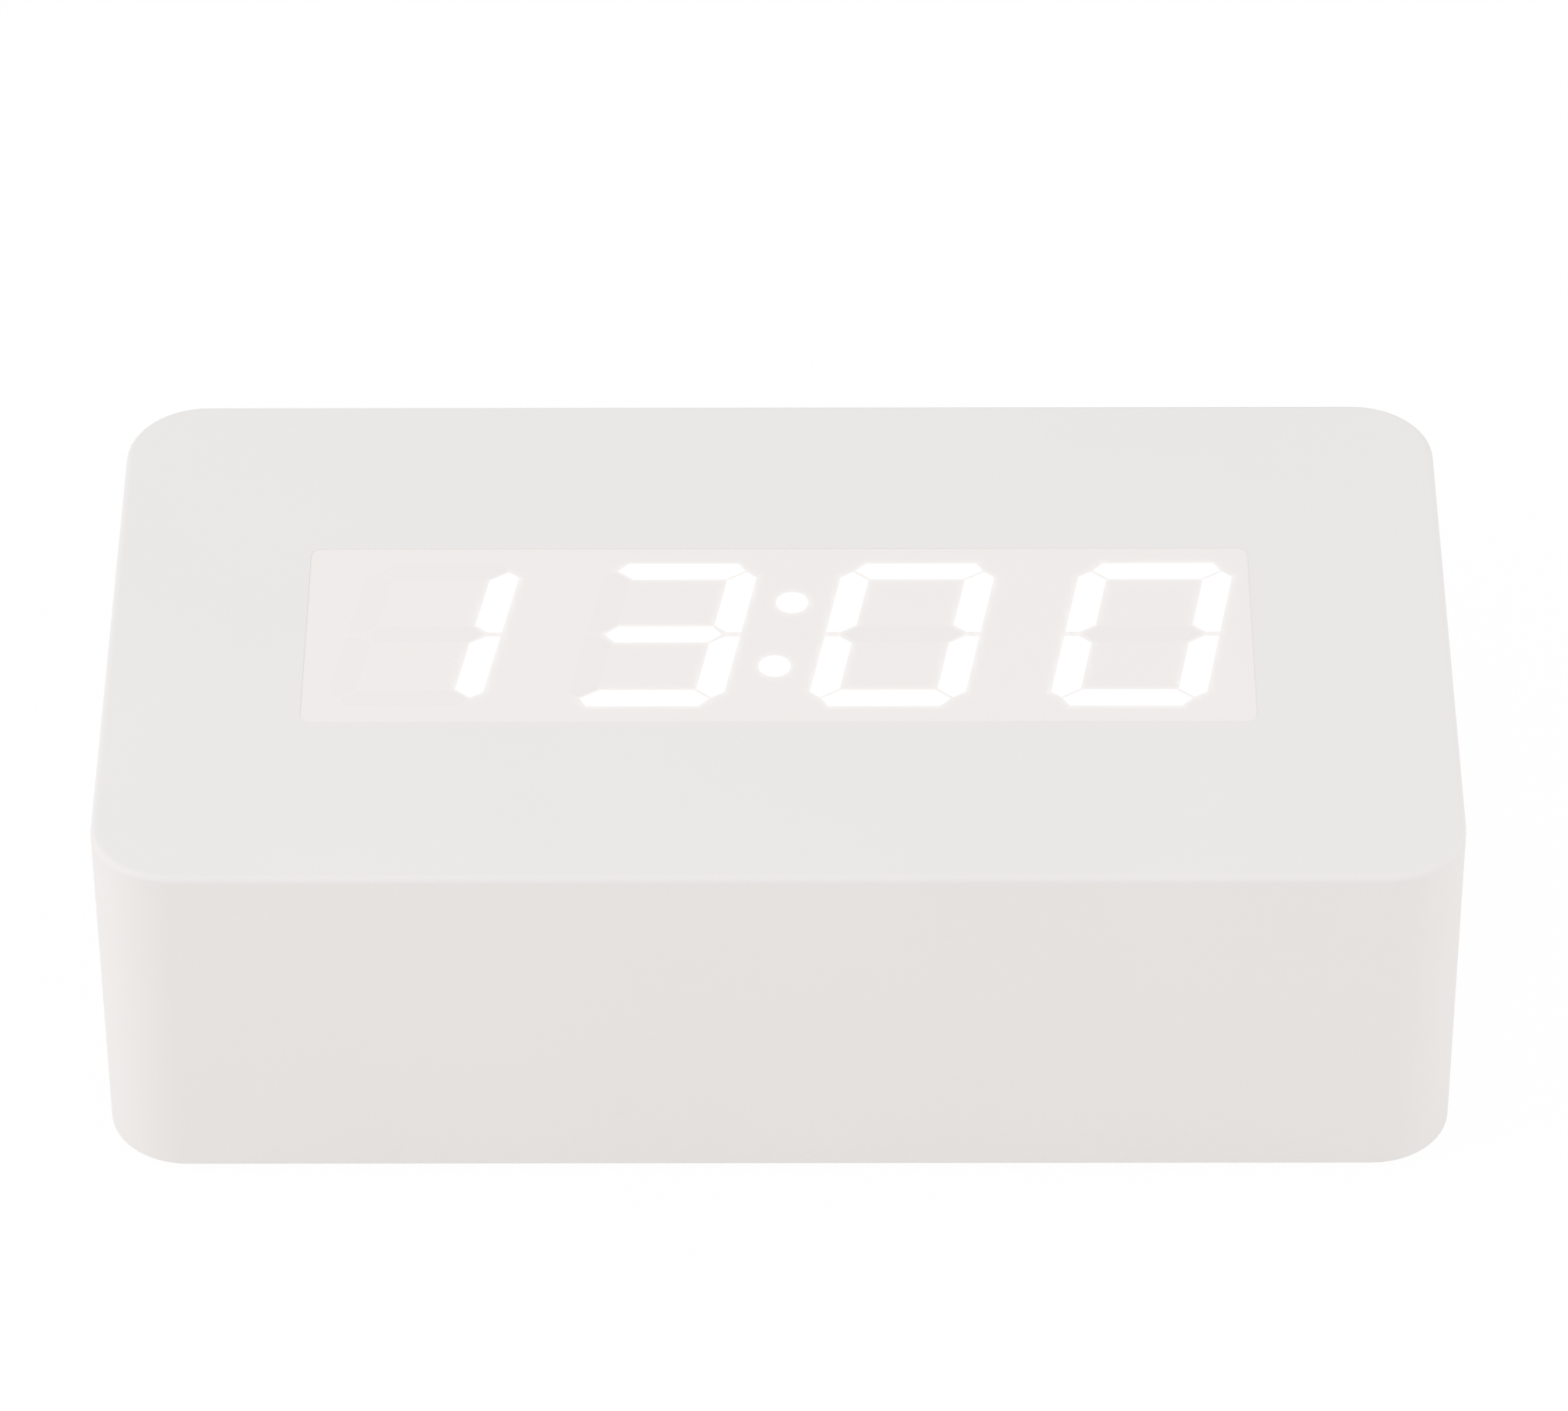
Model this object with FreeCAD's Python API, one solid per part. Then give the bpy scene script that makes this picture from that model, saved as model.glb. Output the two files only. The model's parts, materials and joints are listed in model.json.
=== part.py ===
import FreeCAD, Part

# Projection alarm clock: a plain white block that stands flat, with a one-inch seven-segment
# display let into its top face. Its keys, sockets and a fold-out projector are in its rear
# wall, and a coin-cell door and the sounder's grille are underneath.
# Millimetres. +X is the viewer's right, +Y the rear, +Z up. The origin is on the standing
# surface, under the middle of the block.

import math
import os

from FreeCAD import BoundBox, Vector

OUT_FOLDER = "parts"

# Block. OVERLAP sinks one part of a moulding into the next, and PAST carries a cut beyond a face
WIDTH = 150.0
DEPTH = 82.0
BODY_HEIGHT = 43.0
CORNER_RADIUS = 9.0
WALL = 2.4
TOP_EDGE_ROUND = 0.8
BOTTOM_EDGE_BREAK = 0.4
FOOT_STAND = 0.8
FIT_GAP = 0.15
OVERLAP = 0.5
PAST = 1.0
EDGE_TOLERANCE = 0.01

BASE_Z = FOOT_STAND
TOP_Z = FOOT_STAND + BODY_HEIGHT
CEILING_Z = TOP_Z - WALL
REAR_Y = DEPTH / 2
INNER_WIDTH = WIDTH - 2 * WALL
INNER_DEPTH = DEPTH - 2 * WALL
INNER_RADIUS = CORNER_RADIUS - WALL

# Bottom cover, feet and case screws
COVER_THICKNESS = 2.2
COVER_TOP_Z = BASE_Z + COVER_THICKNESS
COVER_RIM = 1.6
SPEAKER_WELL_HEIGHT = 2.4
FOOT_X = 64.5
FOOT_Y = 30.5
FOOT_RADIUS = 5.0
FOOT_RECESS = 0.7
FOOT_BREAK = 0.35
POST_X = 67.0
POST_Y = 14.0
POST_RADIUS = 3.5
POST_RIB = 1.6
POST_PILOT_RADIUS = 1.15
CUP_RADIUS = 4.4
CUP_BORE_RADIUS = 3.2
CUP_TOP_Z = 6.0
CUP_FLOOR = 1.4
CUP_HOLE_RADIUS = 1.6
CASE_SCREW_HEAD_RADIUS = 2.7
CASE_SCREW_HEAD_HEIGHT = 1.9
CASE_SCREW_REACH = 8.0

# Small screws that hold the boards
SMALL_SCREW_RADIUS = 0.85
SMALL_SCREW_HEAD_RADIUS = 2.0
SMALL_SCREW_HEAD_HEIGHT = 1.3
SMALL_SCREW_REACH = 5.6
BOARD_THICKNESS = 1.6
BOARD_HOLE_RADIUS = 1.15
BOARD_CORNER_RADIUS = 1.5
PILOT_SPARE = 0.6

# Display: window, digits and the stack under them
WINDOW_WIDTH = 106.0
WINDOW_DEPTH = 30.0
WINDOW_RADIUS = 1.2
WINDOW_SINK = 0.05
WINDOW_GAP = 0.05
FLANGE_MARGIN = 2.0
FLANGE_THICKNESS = 1.2
DIGITS_X = 0.45
DIGIT_PITCH = 26.8
DIGIT_WIDTH = 17.2
DIGIT_HEIGHT = 24.5
DIGIT_SLANT = math.tan(math.radians(10.0))
STROKE_UPRIGHT = 3.1
STROKE_LEVEL = 2.6
CORNER_CUT = 2.4
SEGMENT_GAP = 0.3
WAIST_GAP = 0.9
COLON_X = 0.5
COLON_RADIUS = 1.75
COLON_RISE = 5.5
ALL_SEGMENTS = "abcdefg"
SHOWN_DIGITS = ("bc", "abcdg", "abcdef", "abcdef")
REFLECTOR_HEIGHT = 5.5
LIGHT_CHIP = (1.6, 0.8, 0.7)
DISPLAY_BOARD_WIDTH = 121.0
DISPLAY_BOARD_DEPTH = 36.0
DISPLAY_BOSS_X = 57.8
DISPLAY_BOSS_Y = 14.5
DISPLAY_BOSS_RADIUS = 2.6
TOUCH_PAD_WIDTH = 96.0
TOUCH_PAD_DEPTH = 13.0
TOUCH_PAD_Y = -27.5
TOUCH_PAD_THICKNESS = 0.12
TOUCH_PAD_CORNER = 2.0

FLANGE_Z = CEILING_Z - FLANGE_THICKNESS
REFLECTOR_Z = FLANGE_Z - REFLECTOR_HEIGHT
DISPLAY_BOARD_Z = REFLECTOR_Z - BOARD_THICKNESS

# Recessed control panel in the rear wall: a row of keys over a row of switch and sockets
PANEL_X0 = -14.0
PANEL_X1 = 62.0
PANEL_Z0 = 8.0
PANEL_Z1 = 36.0
PANEL_RADIUS = 3.0
PANEL_RECESS = 2.0
PANEL_WALL = 2.2
PANEL_HOLE_GAP = 0.2
PANEL_HOLE_RADIUS = 0.5
PANEL_Y = REAR_Y - PANEL_RECESS
PANEL_BACK_Y = PANEL_Y - PANEL_WALL

# Keys, their push switches and the upright board behind them
KEY_NAMES = ("time", "alarm", "down", "up", "projector")
KEY_XS = (0.0, 12.0, 24.0, 36.0, 48.0)
KEY_Z = 28.0
KEY_RADIUS = 3.5
KEY_CLEARANCE = 0.25
KEY_PROUD = 1.3
KEY_EDGE_ROUND = 0.5
KEY_TRAVEL = 0.8
KEY_DISH_RADIUS = 14.0
KEY_DISH_DEPTH = 0.25
KEY_FLANGE_RADIUS = 4.6
KEY_FLANGE_THICKNESS = 0.7
KEY_FLANGE_GAP = 0.3
KEY_STOP_GAP = 0.3
PLUNGER_RADIUS = 1.6
PLUNGER_CLEARANCE = 0.3
PLUNGER_DEPTH = 1.2
PLUNGER_FLOOR_GAP = 0.4
SWITCH_SIZE = 6.0
KEY_BOARD_Y = 30.0
KEY_BOARD_X = (-12.5, 60.5)
KEY_BOARD_Z = (23.0, 35.8)
KEY_BOSS_XS = (-8.0, 56.0)
KEY_BOSS_Z = 32.0
KEY_BOSS_RADIUS = 2.3
HEADER_X = (31.2, 41.4)
HEADER_DEPTH = 2.5
HEADER_LAP = 2.5
HEADER_PINS = 4
HEADER_NOTCH = 0.5

KEY_FLANGE_BACK_Y = PANEL_BACK_Y - KEY_FLANGE_GAP - KEY_FLANGE_THICKNESS
SWITCH_FRONT_Y = KEY_FLANGE_BACK_Y - KEY_TRAVEL - KEY_STOP_GAP
KEY_BOARD_FRONT_Y = KEY_BOARD_Y + BOARD_THICKNESS

# Main board on the bottom cover
MAIN_X = (-15.0, 61.0)
MAIN_Y = (-26.0, PANEL_BACK_Y - 0.4)
MAIN_Z = 9.6
MAIN_TOP_Z = MAIN_Z + BOARD_THICKNESS
STANDOFF_RADIUS = 2.6
STANDOFF_XY = ((-11.0, -22.0), (57.0, -22.0), (-11.0, 20.0), (57.0, 20.0))
RIBBON_X = 0.0
RIBBON_LOW_Y = -2.0
RIBBON_HIGH_Y = 7.0
RIBBON_WIDTH = 17.6
RIBBON_THICKNESS = 0.3
RIBBON_STRAIGHT = 4.5
RIBBON_SOCKET = (22.0, 4.4, 4.0)
RIBBON_SEAT = 1.5
RIBBON_SLOT_SPARE = 0.2
WIRE_RISE = 4.0

# Chips with their leads, the crystal and the capacitors: length or radius first, height last
CLOCK_CHIP_XY = (8.0, -10.0)
CLOCK_CHIP = (12.8, 7.5, 2.3)
DRIVER_CHIP_XY = (-24.0, 2.0)
DRIVER_CHIP = (15.0, 7.4, 2.2)
CHIP_LEADS = 10
CHIP_STANDOFF = 0.15
LEAD_HALF_WIDTH = 0.2
LEAD_THICKNESS = 0.3
LEAD_ROOT = 0.2
LEAD_KNEE = 0.45
LEAD_REACH = 1.1
CRYSTAL_XY = (8.0, -19.0)
CRYSTAL = (10.0, 3.8, 3.4)
CRYSTAL_END_RADIUS = 1.85
CRYSTAL_EDGE_ROUND = 0.4
CAPACITOR_XS = (40.0, 49.0)
CAPACITOR_Y = 12.0
CAPACITOR_SIZES = ((3.15, 8.0), (2.5, 7.0))
CAPACITOR_EDGE_ROUND = 0.5
CRIMP_RISE = 1.2
CRIMP_WIDTH = 0.5
CRIMP_DEPTH = 0.25

# Alarm slide switch
SLIDER_X = 0.0
SLIDER_Z = MAIN_TOP_Z + 3.0
SLIDER_TRAVEL = 3.0
SLIDER_THUMB = (3.8, 2.6)
SLIDER_FOOT = (6.0, 4.0)
SLIDER_PLAY = 0.4
SLIDER_WALL_Y = PANEL_BACK_Y - 0.2
SLIDER_ROOM = 3.4
SLIDER_BACK_Y = SLIDER_WALL_Y - SLIDER_ROOM
SLIDER_PROUD = 1.4
SLIDER_CLEARANCE = 0.3
SLIDER_CASE_WALL = 0.8
SLIDER_CASE_HALF_HEIGHT = 3.2
SLIDER_RUN_SPARE = 0.7
SLIDER_SLOT_RADIUS = 0.6
THUMB_GROOVES = 3
THUMB_GROOVE_PITCH = 0.95
THUMB_GROOVE_WIDTH = 0.4
THUMB_GROOVE_DEPTH = 0.35

# Charging socket and power inlet
USB_X = 24.0
USB_WIDTH = 13.1
USB_HEIGHT = 5.7
USB_SHEET = 0.35
USB_DEPTH = 14.0
USB_CORNER_RADIUS = 0.45
USB_BLOCK_DEPTH = 4.2
USB_TONGUE_WIDTH = 11.1
USB_TONGUE_RISE = (0.05, 1.9)
USB_TONGUE_SINK = 1.2
USB_CONTACT_XS = (-3.5, -1.0, 1.0, 3.5)
USB_CONTACT_WIDTH = 1.0
USB_CONTACT_DEPTH = 0.2
USB_CONTACT_BACK = 1.8
USB_CONTACT_FRONT = 2.0
USB_Z = MAIN_TOP_Z + 0.1 + USB_HEIGHT / 2
USB_BACK_Y = PANEL_Y - USB_DEPTH
USB_FACE_Y = PANEL_Y - 0.1
JACK_X = 48.0
JACK_Z = MAIN_TOP_Z + 6.4
JACK_NOSE_RADIUS = 4.2
JACK_BORE_RADIUS = 3.15
JACK_BORE_DEPTH = 9.5
JACK_PIN_RADIUS = 1.0
JACK_BLOCK_HALF = 4.6
JACK_DEPTH = 12.5
JACK_PROUD = 0.4
JACK_NOSE_ROUND = 0.3
JACK_PIN_SINK = 0.8
JACK_PIN_ROUND = 0.6
JACK_BACK_Y = PANEL_Y - JACK_DEPTH
JACK_FACE_Y = PANEL_Y + JACK_PROUD

# Coin cell and its turn-to-open door
CELL_X = 24.0
CELL_Y = -4.0
CELL_RADIUS = 10.0
CELL_HEIGHT = 3.2
CELL_CAP_HEIGHT = 0.9
CELL_CAP_INSET = 1.1
CELL_EDGE_ROUND = 0.4
CELL_LIFT = 0.35
CONTACT_LENGTH = 15.0
CONTACT_WIDTH = 4.0
CONTACT_THICKNESS = 0.4
HOLDER_WALL = 1.6
HOLDER_LIP = 0.15
HOLDER_PLAY = 0.25
DOOR_RADIUS = 12.6
DOOR_THICKNESS = 1.4
DOOR_SINK = 0.1
DOOR_GAP = 0.3
DOOR_PLAY = 0.15
DOOR_EDGE_BREAK = 0.25
DOOR_ROOT = 0.5
LUG_ROOT = 0.8
NECK_RADIUS = 10.9
NECK_WALL = 1.6
LUG_COUNT = 3
LUG_REACH = 1.4
LUG_THICKNESS = 0.8
LUG_SPAN = 26.0
NOTCH_SPAN = 34.0
DOOR_TURN = 45.0
SHELF_THICKNESS = 1.0
COIN_RADIUS = 12.0
COIN_SLOT_WIDTH = 1.8
COIN_SLOT_DEPTH = 0.95

SHELF_Z = BASE_Z + DOOR_SINK + DOOR_THICKNESS + DOOR_PLAY
SHELF_TOP_Z = SHELF_Z + SHELF_THICKNESS
LUG_Z = SHELF_TOP_Z + DOOR_PLAY
CELL_Z = LUG_Z + LUG_THICKNESS + CELL_LIFT

# Sounder over its grille
SPEAKER_X = -42.0
SPEAKER_Y = -6.0
SPEAKER_RADIUS = 14.0
GRILLE_HOLE_RADIUS = 0.8
GRILLE_RING_STEP = 3.6
GRILLE_RINGS = 3
SPEAKER_RIM_WIDTH = 1.8
SPEAKER_RIM_HEIGHT = 1.4
BASKET_HEIGHT = 4.4
BASKET_SHEET = 0.8
BASKET_SHOULDER = 8.6
BASKET_THROAT = 6.2
CONE_THICKNESS = 0.3
MAGNET_RADIUS = 8.0
MAGNET_HEIGHT = 3.8
MAGNET_EDGE_ROUND = 0.6

# Projector bay and fold-out head
BAY_X = (-65.0, -19.0)
BAY_Z = (4.2, 41.0)
BAY_WALL = 1.4
BAY_RADIUS = 2.6
BAY_MOUTH_ROUND = 0.5
HINGE_Y = REAR_Y - 5.2
HINGE_Z = 34.2
HEAD_SIDE_GAP = 0.4
HEAD_FACE = 5.0
HEAD_BACK = 7.5
HEAD_TOP = 5.0
HEAD_DROP = 21.8
HEAD_HEEL = 3.0
HEAD_TOE = 4.0
HEAD_WALL = 1.5
HEAD_END_ROUND = 0.5
HEAD_SPLIT = 1.2
HEAD_BACK_GAP = 0.9
PIN_RADIUS = 1.5
PIN_BORE_RADIUS = 0.85
PIN_CLEARANCE = 0.06
PIN_IN_HEAD = 3.6
PIN_END_GAP = 0.3
HINGE_BOSS_RADIUS = 3.2
HINGE_BOSS_FLOOR = 1.2
HINGE_BOSS_ROOT = 0.6
BAY_BACK_Y = HINGE_Y - HEAD_BACK - HEAD_BACK_GAP
HEAD_X = (BAY_X[0] + BAY_WALL + HEAD_SIDE_GAP, BAY_X[1] - BAY_WALL - HEAD_SIDE_GAP)

# Projector optics, along the head from the lamp to the mirror and out through the lens
LENS_X = -31.5
LENS_Z = 22.6
LENS_RADIUS = 4.0
LENS_RIM = 1.0
LENS_BULGE = 1.1
TUBE_RADIUS = 4.8
TUBE_LENGTH = 3.2
TUBE_LIP = 0.5
LENS_TRAVEL = 1.2
RING_RADIUS = 7.6
RING_HEIGHT = 2.4
RING_CLEARANCE = 0.3
RING_GRIPS = 24
RING_GRIP_RADIUS = 0.45
RUNNING_GAP = 0.1
COLLAR_FLOOR = 1.4
COLLAR_WALL = 1.2
COLLAR_SINK = 0.5
GRIP_ROOT = 0.6
RAIL_HALF_GAP = 5.0
RAIL_THICKNESS = 1.2
RAIL_ROOT = 0.2
RAIL_LIP = 0.4
RAIL_PAST_LAMP = 2.0
RAIL_PAST_LENS = 5.0
RAMP_THICKNESS = 1.0
MIRROR_HALF_LENGTH = 3.7
MIRROR_THICKNESS = 1.0
OPTICS_HALF_DEPTH = 3.0
IMAGE_THICKNESS = 1.2
CONDENSER_RADIUS = 6.0
CONDENSER_GAP = 1.0
CONDENSER_FLANGE = 0.8
CONDENSER_BULGE = 1.8
CONDENSER_HALF_HEIGHT = 4.2
CONDENSER_INSET = 0.2
OPTICS_PITCH = 9.5
LAMP_RADIUS = 2.5
LAMP_LENGTH = 4.0
LAMP_FLANGE = 0.4
LAMP_FLANGE_THICKNESS = 1.0
LAMP_TAB_REACH = 1.2
LAMP_BOARD_THICKNESS = 1.2
BEAM_DROP = 2.6
FACE_GAP = 0.1
BEAM_Y = HINGE_Y - BEAM_DROP
IMAGE_X = LENS_X - OPTICS_PITCH
LAMP_X = IMAGE_X - OPTICS_PITCH
LAMP_BOARD_X = LAMP_X - LAMP_LENGTH
RING_Y = HINGE_Y + HEAD_FACE - RING_HEIGHT - FACE_GAP
TUBE_FACE_Y = HINGE_Y + HEAD_FACE - LENS_TRAVEL - FACE_GAP
SHELL_WALL_Y = HINGE_Y - HEAD_BACK + HEAD_WALL

# Wires
WIRE_RADIUS = 0.35
WIRE_SPREAD = 0.3
WIRE_BEND = 2.5
HEAD_WIRE_BEND = 1.0
SPEAKER_WIRE_INSET = 0.7
SPEAKER_WIRE_LANDING = 2.5
PROJECTOR_WIRE_LANDING = 7.5
HEAD_WIRE_RUN = 1.6
HEAD_WIRE_RISE = 2.5
BAY_WIRE_SIDE = 3.8
BAY_WIRE_BACK = 2.5


# Simple solids

def box(x0, x1, y0, y1, z0, z1):
    """A block between two corners."""
    return Part.makeBox(x1 - x0, y1 - y0, z1 - z0, Vector(x0, y0, z0))


def disc_x(y, z, radius, x0, x1):
    """A round bar along X."""
    return Part.makeCylinder(radius, x1 - x0, Vector(x0, y, z), Vector(1, 0, 0))


def disc_y(x, z, radius, y0, y1):
    """A round bar along Y."""
    return Part.makeCylinder(radius, y1 - y0, Vector(x, y0, z), Vector(0, 1, 0))


def disc_z(x, y, radius, z0, z1):
    """A round bar along Z."""
    return Part.makeCylinder(radius, z1 - z0, Vector(x, y, z0), Vector(0, 0, 1))


def ring_y(x, z, outer, inner, y0, y1):
    """A tube along Y."""
    return disc_y(x, z, outer, y0, y1).cut(disc_y(x, z, inner, y0 - PAST, y1 + PAST))


def ring_z(x, y, outer, inner, z0, z1):
    """A tube along Z."""
    return disc_z(x, y, outer, z0, z1).cut(disc_z(x, y, inner, z0 - PAST, z1 + PAST))


def rounded_slab(width, depth, radius, z0, z1, x=0.0, y=0.0):
    """A slab with rounded upright corners, centred on x, y."""
    slab = box(x - width / 2, x + width / 2, y - depth / 2, y + depth / 2, z0, z1)
    upright = [e for e in slab.Edges if abs(e.tangentAt(e.FirstParameter).z) > 0.99]
    return slab.makeFillet(radius, upright)


def rounded_panel(xs, zs, radius, y0, y1):
    """A panel in the XZ plane with rounded corners, thick along Y."""
    panel = box(xs[0], xs[1], y0, y1, zs[0], zs[1])
    along_y = [e for e in panel.Edges if abs(e.tangentAt(e.FirstParameter).y) > 0.99]
    return panel.makeFillet(radius, along_y)


def prism(points, z0, z1):
    """A flat outline of x, y points raised from z0 to z1."""
    corners = [Vector(x, y, z0) for x, y in points]
    outline = Part.makePolygon(corners + corners[:1])
    return Part.Face(outline).extrude(Vector(0, 0, z1 - z0))


def turned(points, x, y):
    """A solid of revolution about an upright axis, from radius, height points."""
    corners = [Vector(x + radius, y, z) for radius, z in points]
    outline = Part.makePolygon(corners + corners[:1])
    return Part.Face(outline).revolve(Vector(x, y, 0), Vector(0, 0, 1), 360)


def fuse(shapes):
    """One solid from several that touch or overlap."""
    return shapes[0].multiFuse(shapes[1:]).removeSplitter()


def group(shapes):
    """Separate solids kept in one node."""
    return Part.makeCompound([solid for shape in shapes for solid in shape.Solids])


def edges_where(shape, test):
    """The edges that lie wholly where a test on their points holds."""
    return [edge for edge in shape.Edges if all(test(point) for point in edge.discretize(5))]


def edges_at_y(shape, y):
    """The edges in the plane y."""
    return edges_where(shape, lambda point: abs(point.y - y) < 1e-3)


def edges_at_z(shape, z):
    """The edges in the plane z."""
    return edges_where(shape, lambda point: abs(point.z - z) < 1e-3)


def four_corners(x, y):
    """The four mirrored places of a corner feature."""
    return [(side * x, end * y) for side in (-1, 1) for end in (-1, 1)]


# Fasteners and chips

def pan_screw(seat, direction, radius, head_radius, head_height, reach):
    """A cross-headed screw: its head sits on the outer side of the seat and its shank runs inwards."""
    head = disc_z(0, 0, head_radius, -head_height, 0)
    head = head.makeChamfer(head_height * 0.35, edges_at_z(head, -head_height))
    shank = disc_z(0, 0, radius, 0, reach)
    half_length = head_radius * 0.55
    half_width = head_radius * 0.13
    floor = -head_height * 0.45
    along = box(-half_length, half_length, -half_width, half_width, -head_height - PAST, floor)
    across = box(-half_width, half_width, -half_length, half_length, -head_height - PAST, floor)
    screw = fuse([head, shank]).cut([along, across])
    turn = FreeCAD.Rotation(Vector(0, 0, 1), direction)
    screw.Placement = FreeCAD.Placement(seat, turn)
    return screw


def small_screw(seat, direction):
    """One of the identical screws that hold the boards."""
    return pan_screw(
        seat, direction, SMALL_SCREW_RADIUS, SMALL_SCREW_HEAD_RADIUS, SMALL_SCREW_HEAD_HEIGHT,
        SMALL_SCREW_REACH,
    )


def soldered_chip(place, board_z, way, size):
    """A flat chip on a board's upper (way 1) or lower (way -1) face, with a row of bent leads each side."""
    x, y = place
    length, width, height = size
    near = board_z + way * CHIP_STANDOFF
    far = board_z + way * height
    half_l = length / 2
    half_w = width / 2
    pieces = [box(x - half_l, x + half_l, y - half_w, y + half_w, *sorted((near, far)))]
    pitch = length / (CHIP_LEADS + 1)
    foot_z = sorted((board_z, board_z + way * LEAD_THICKNESS))
    rise_z = sorted((board_z, board_z + way * height / 2))
    for row in (-1, 1):
        root_y = y + row * (half_w - LEAD_ROOT)
        knee_y = y + row * (half_w + LEAD_KNEE)
        toe_y = y + row * (half_w + LEAD_REACH)
        for step in range(CHIP_LEADS):
            lead_x = x + (step - (CHIP_LEADS - 1) / 2) * pitch
            sides = (lead_x - LEAD_HALF_WIDTH, lead_x + LEAD_HALF_WIDTH)
            pieces.append(box(*sides, *sorted((root_y, knee_y)), *rise_z))
            pieces.append(box(*sides, *sorted((root_y, toe_y)), *foot_z))
    return fuse(pieces)


def rounded_path(points, bend):
    """Straight runs through the points, joined by tangent arcs of radius bend."""
    edges = []
    start = points[0]
    for before, corner, after in zip(points, points[1:], points[2:]):
        arriving = (corner - before).normalize()
        leaving = (after - corner).normalize()
        half_turn = arriving.getAngle(leaving) / 2
        setback = bend * math.tan(half_turn)
        entry = corner - arriving * setback
        leave = corner + leaving * setback
        inward = (leaving - arriving).normalize()
        middle = corner + inward * (bend / math.cos(half_turn) - bend)
        edges.append(Part.LineSegment(start, entry).toShape())
        edges.append(Part.Arc(entry, middle, leave).toShape())
        start = leave
    edges.append(Part.LineSegment(start, points[-1]).toShape())
    return Part.Wire(edges)


def wire_pair(points, bend):
    """Two insulated wires side by side along the points, both cut off square at the two ends."""
    wires = []
    for side in (-1, 1):
        offset = Vector(1, 1, 1) * (side * WIRE_SPREAD)
        own = [point + offset for point in points]
        for end, beside in ((0, 1), (-1, -2)):
            run = (points[beside] - points[end]).normalize()
            own[end] = own[end] - run * offset.dot(run)
        path = rounded_path(own, bend)
        start_run = own[1] - own[0]
        circle = Part.Wire([Part.Circle(own[0], start_run, WIRE_RADIUS).toShape()])
        wires.append(path.makePipeShell([circle], True, False))
    return group(wires)


# Seven-segment outlines

def segment_outlines():
    """Corner points of segments a to g of one upright digit about its own centre."""
    half_w = DIGIT_WIDTH / 2
    half_h = DIGIT_HEIGHT / 2
    inner_x = half_w - STROKE_UPRIGHT
    inner_y = half_h - STROKE_LEVEL
    waist = STROKE_LEVEL / 2
    gap = SEGMENT_GAP
    mitre_x = half_w - CORNER_CUT / 2
    mitre_y = half_h - CORNER_CUT / 2
    tip_x = half_w - STROKE_UPRIGHT / 2
    half_top = [(inner_x - gap, inner_y), (mitre_x - gap, mitre_y), (half_w - CORNER_CUT, half_h)]
    top = half_top + [(-x, y) for x, y in reversed(half_top)]
    side = [
        (inner_x, inner_y - gap),
        (mitre_x, mitre_y - gap),
        (half_w, half_h - CORNER_CUT),
        (half_w, WAIST_GAP / 2),
        (tip_x, WAIST_GAP / 2),
        (inner_x, waist + gap),
    ]
    half_middle = [(inner_x - gap, -waist), (tip_x - 2 * gap, 0.0), (inner_x - gap, waist)]
    middle = half_middle + [(-x, -y) for x, y in half_middle]
    return {
        "a": top,
        "b": side,
        "c": [(x, -y) for x, y in side],
        "d": [(x, -y) for x, y in top],
        "e": [(-x, -y) for x, y in side],
        "f": [(-x, y) for x, y in side],
        "g": middle,
    }


def slanted(points, centre_x):
    """The outline leaned over like an italic figure and moved to its digit."""
    return [(centre_x + x + y * DIGIT_SLANT, y) for x, y in points]


def segment_solids(z0, z1):
    """Two lists of solids: those that are lit to show 13:00, and those that stay dark."""
    outlines = segment_outlines()
    lit = []
    dark = []
    for place, shown in enumerate(SHOWN_DIGITS):
        centre_x = DIGITS_X + (place - (len(SHOWN_DIGITS) - 1) / 2) * DIGIT_PITCH
        for name in ALL_SEGMENTS:
            chosen = lit if name in shown else dark
            chosen.append(prism(slanted(outlines[name], centre_x), z0, z1))
    for rise in (-COLON_RISE, COLON_RISE):
        lit.append(disc_z(COLON_X + rise * DIGIT_SLANT, rise, COLON_RADIUS, z0, z1))
    return lit, dark


# Case

def shell_outside():
    """The block itself, with its top edge rounded and its lower edge broken."""
    body = rounded_slab(WIDTH, DEPTH, CORNER_RADIUS, BASE_Z, TOP_Z)
    body = body.makeFillet(TOP_EDGE_ROUND, edges_at_z(body, TOP_Z))
    return body.makeChamfer(BOTTOM_EDGE_BREAK, edges_at_z(body, BASE_Z))


def shell_posts():
    """Posts for the case screws, each tied to the side wall by a rib, and the bosses for the boards."""
    top = CEILING_Z + OVERLAP
    pieces = []
    for x, y in four_corners(POST_X, POST_Y):
        wall_x = math.copysign(WIDTH / 2 - WALL + OVERLAP, x)
        pieces.append(disc_z(x, y, POST_RADIUS, CUP_TOP_Z, top))
        pieces.append(box(*sorted((x, wall_x)), y - POST_RIB / 2, y + POST_RIB / 2, CUP_TOP_Z, top))
    for x, y in four_corners(DISPLAY_BOSS_X, DISPLAY_BOSS_Y):
        pieces.append(disc_z(x, y, DISPLAY_BOSS_RADIUS, REFLECTOR_Z, top))
    for x in KEY_BOSS_XS:
        pieces.append(disc_y(x, KEY_BOSS_Z, KEY_BOSS_RADIUS, KEY_BOARD_FRONT_Y, PANEL_BACK_Y + OVERLAP))
    return pieces


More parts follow.
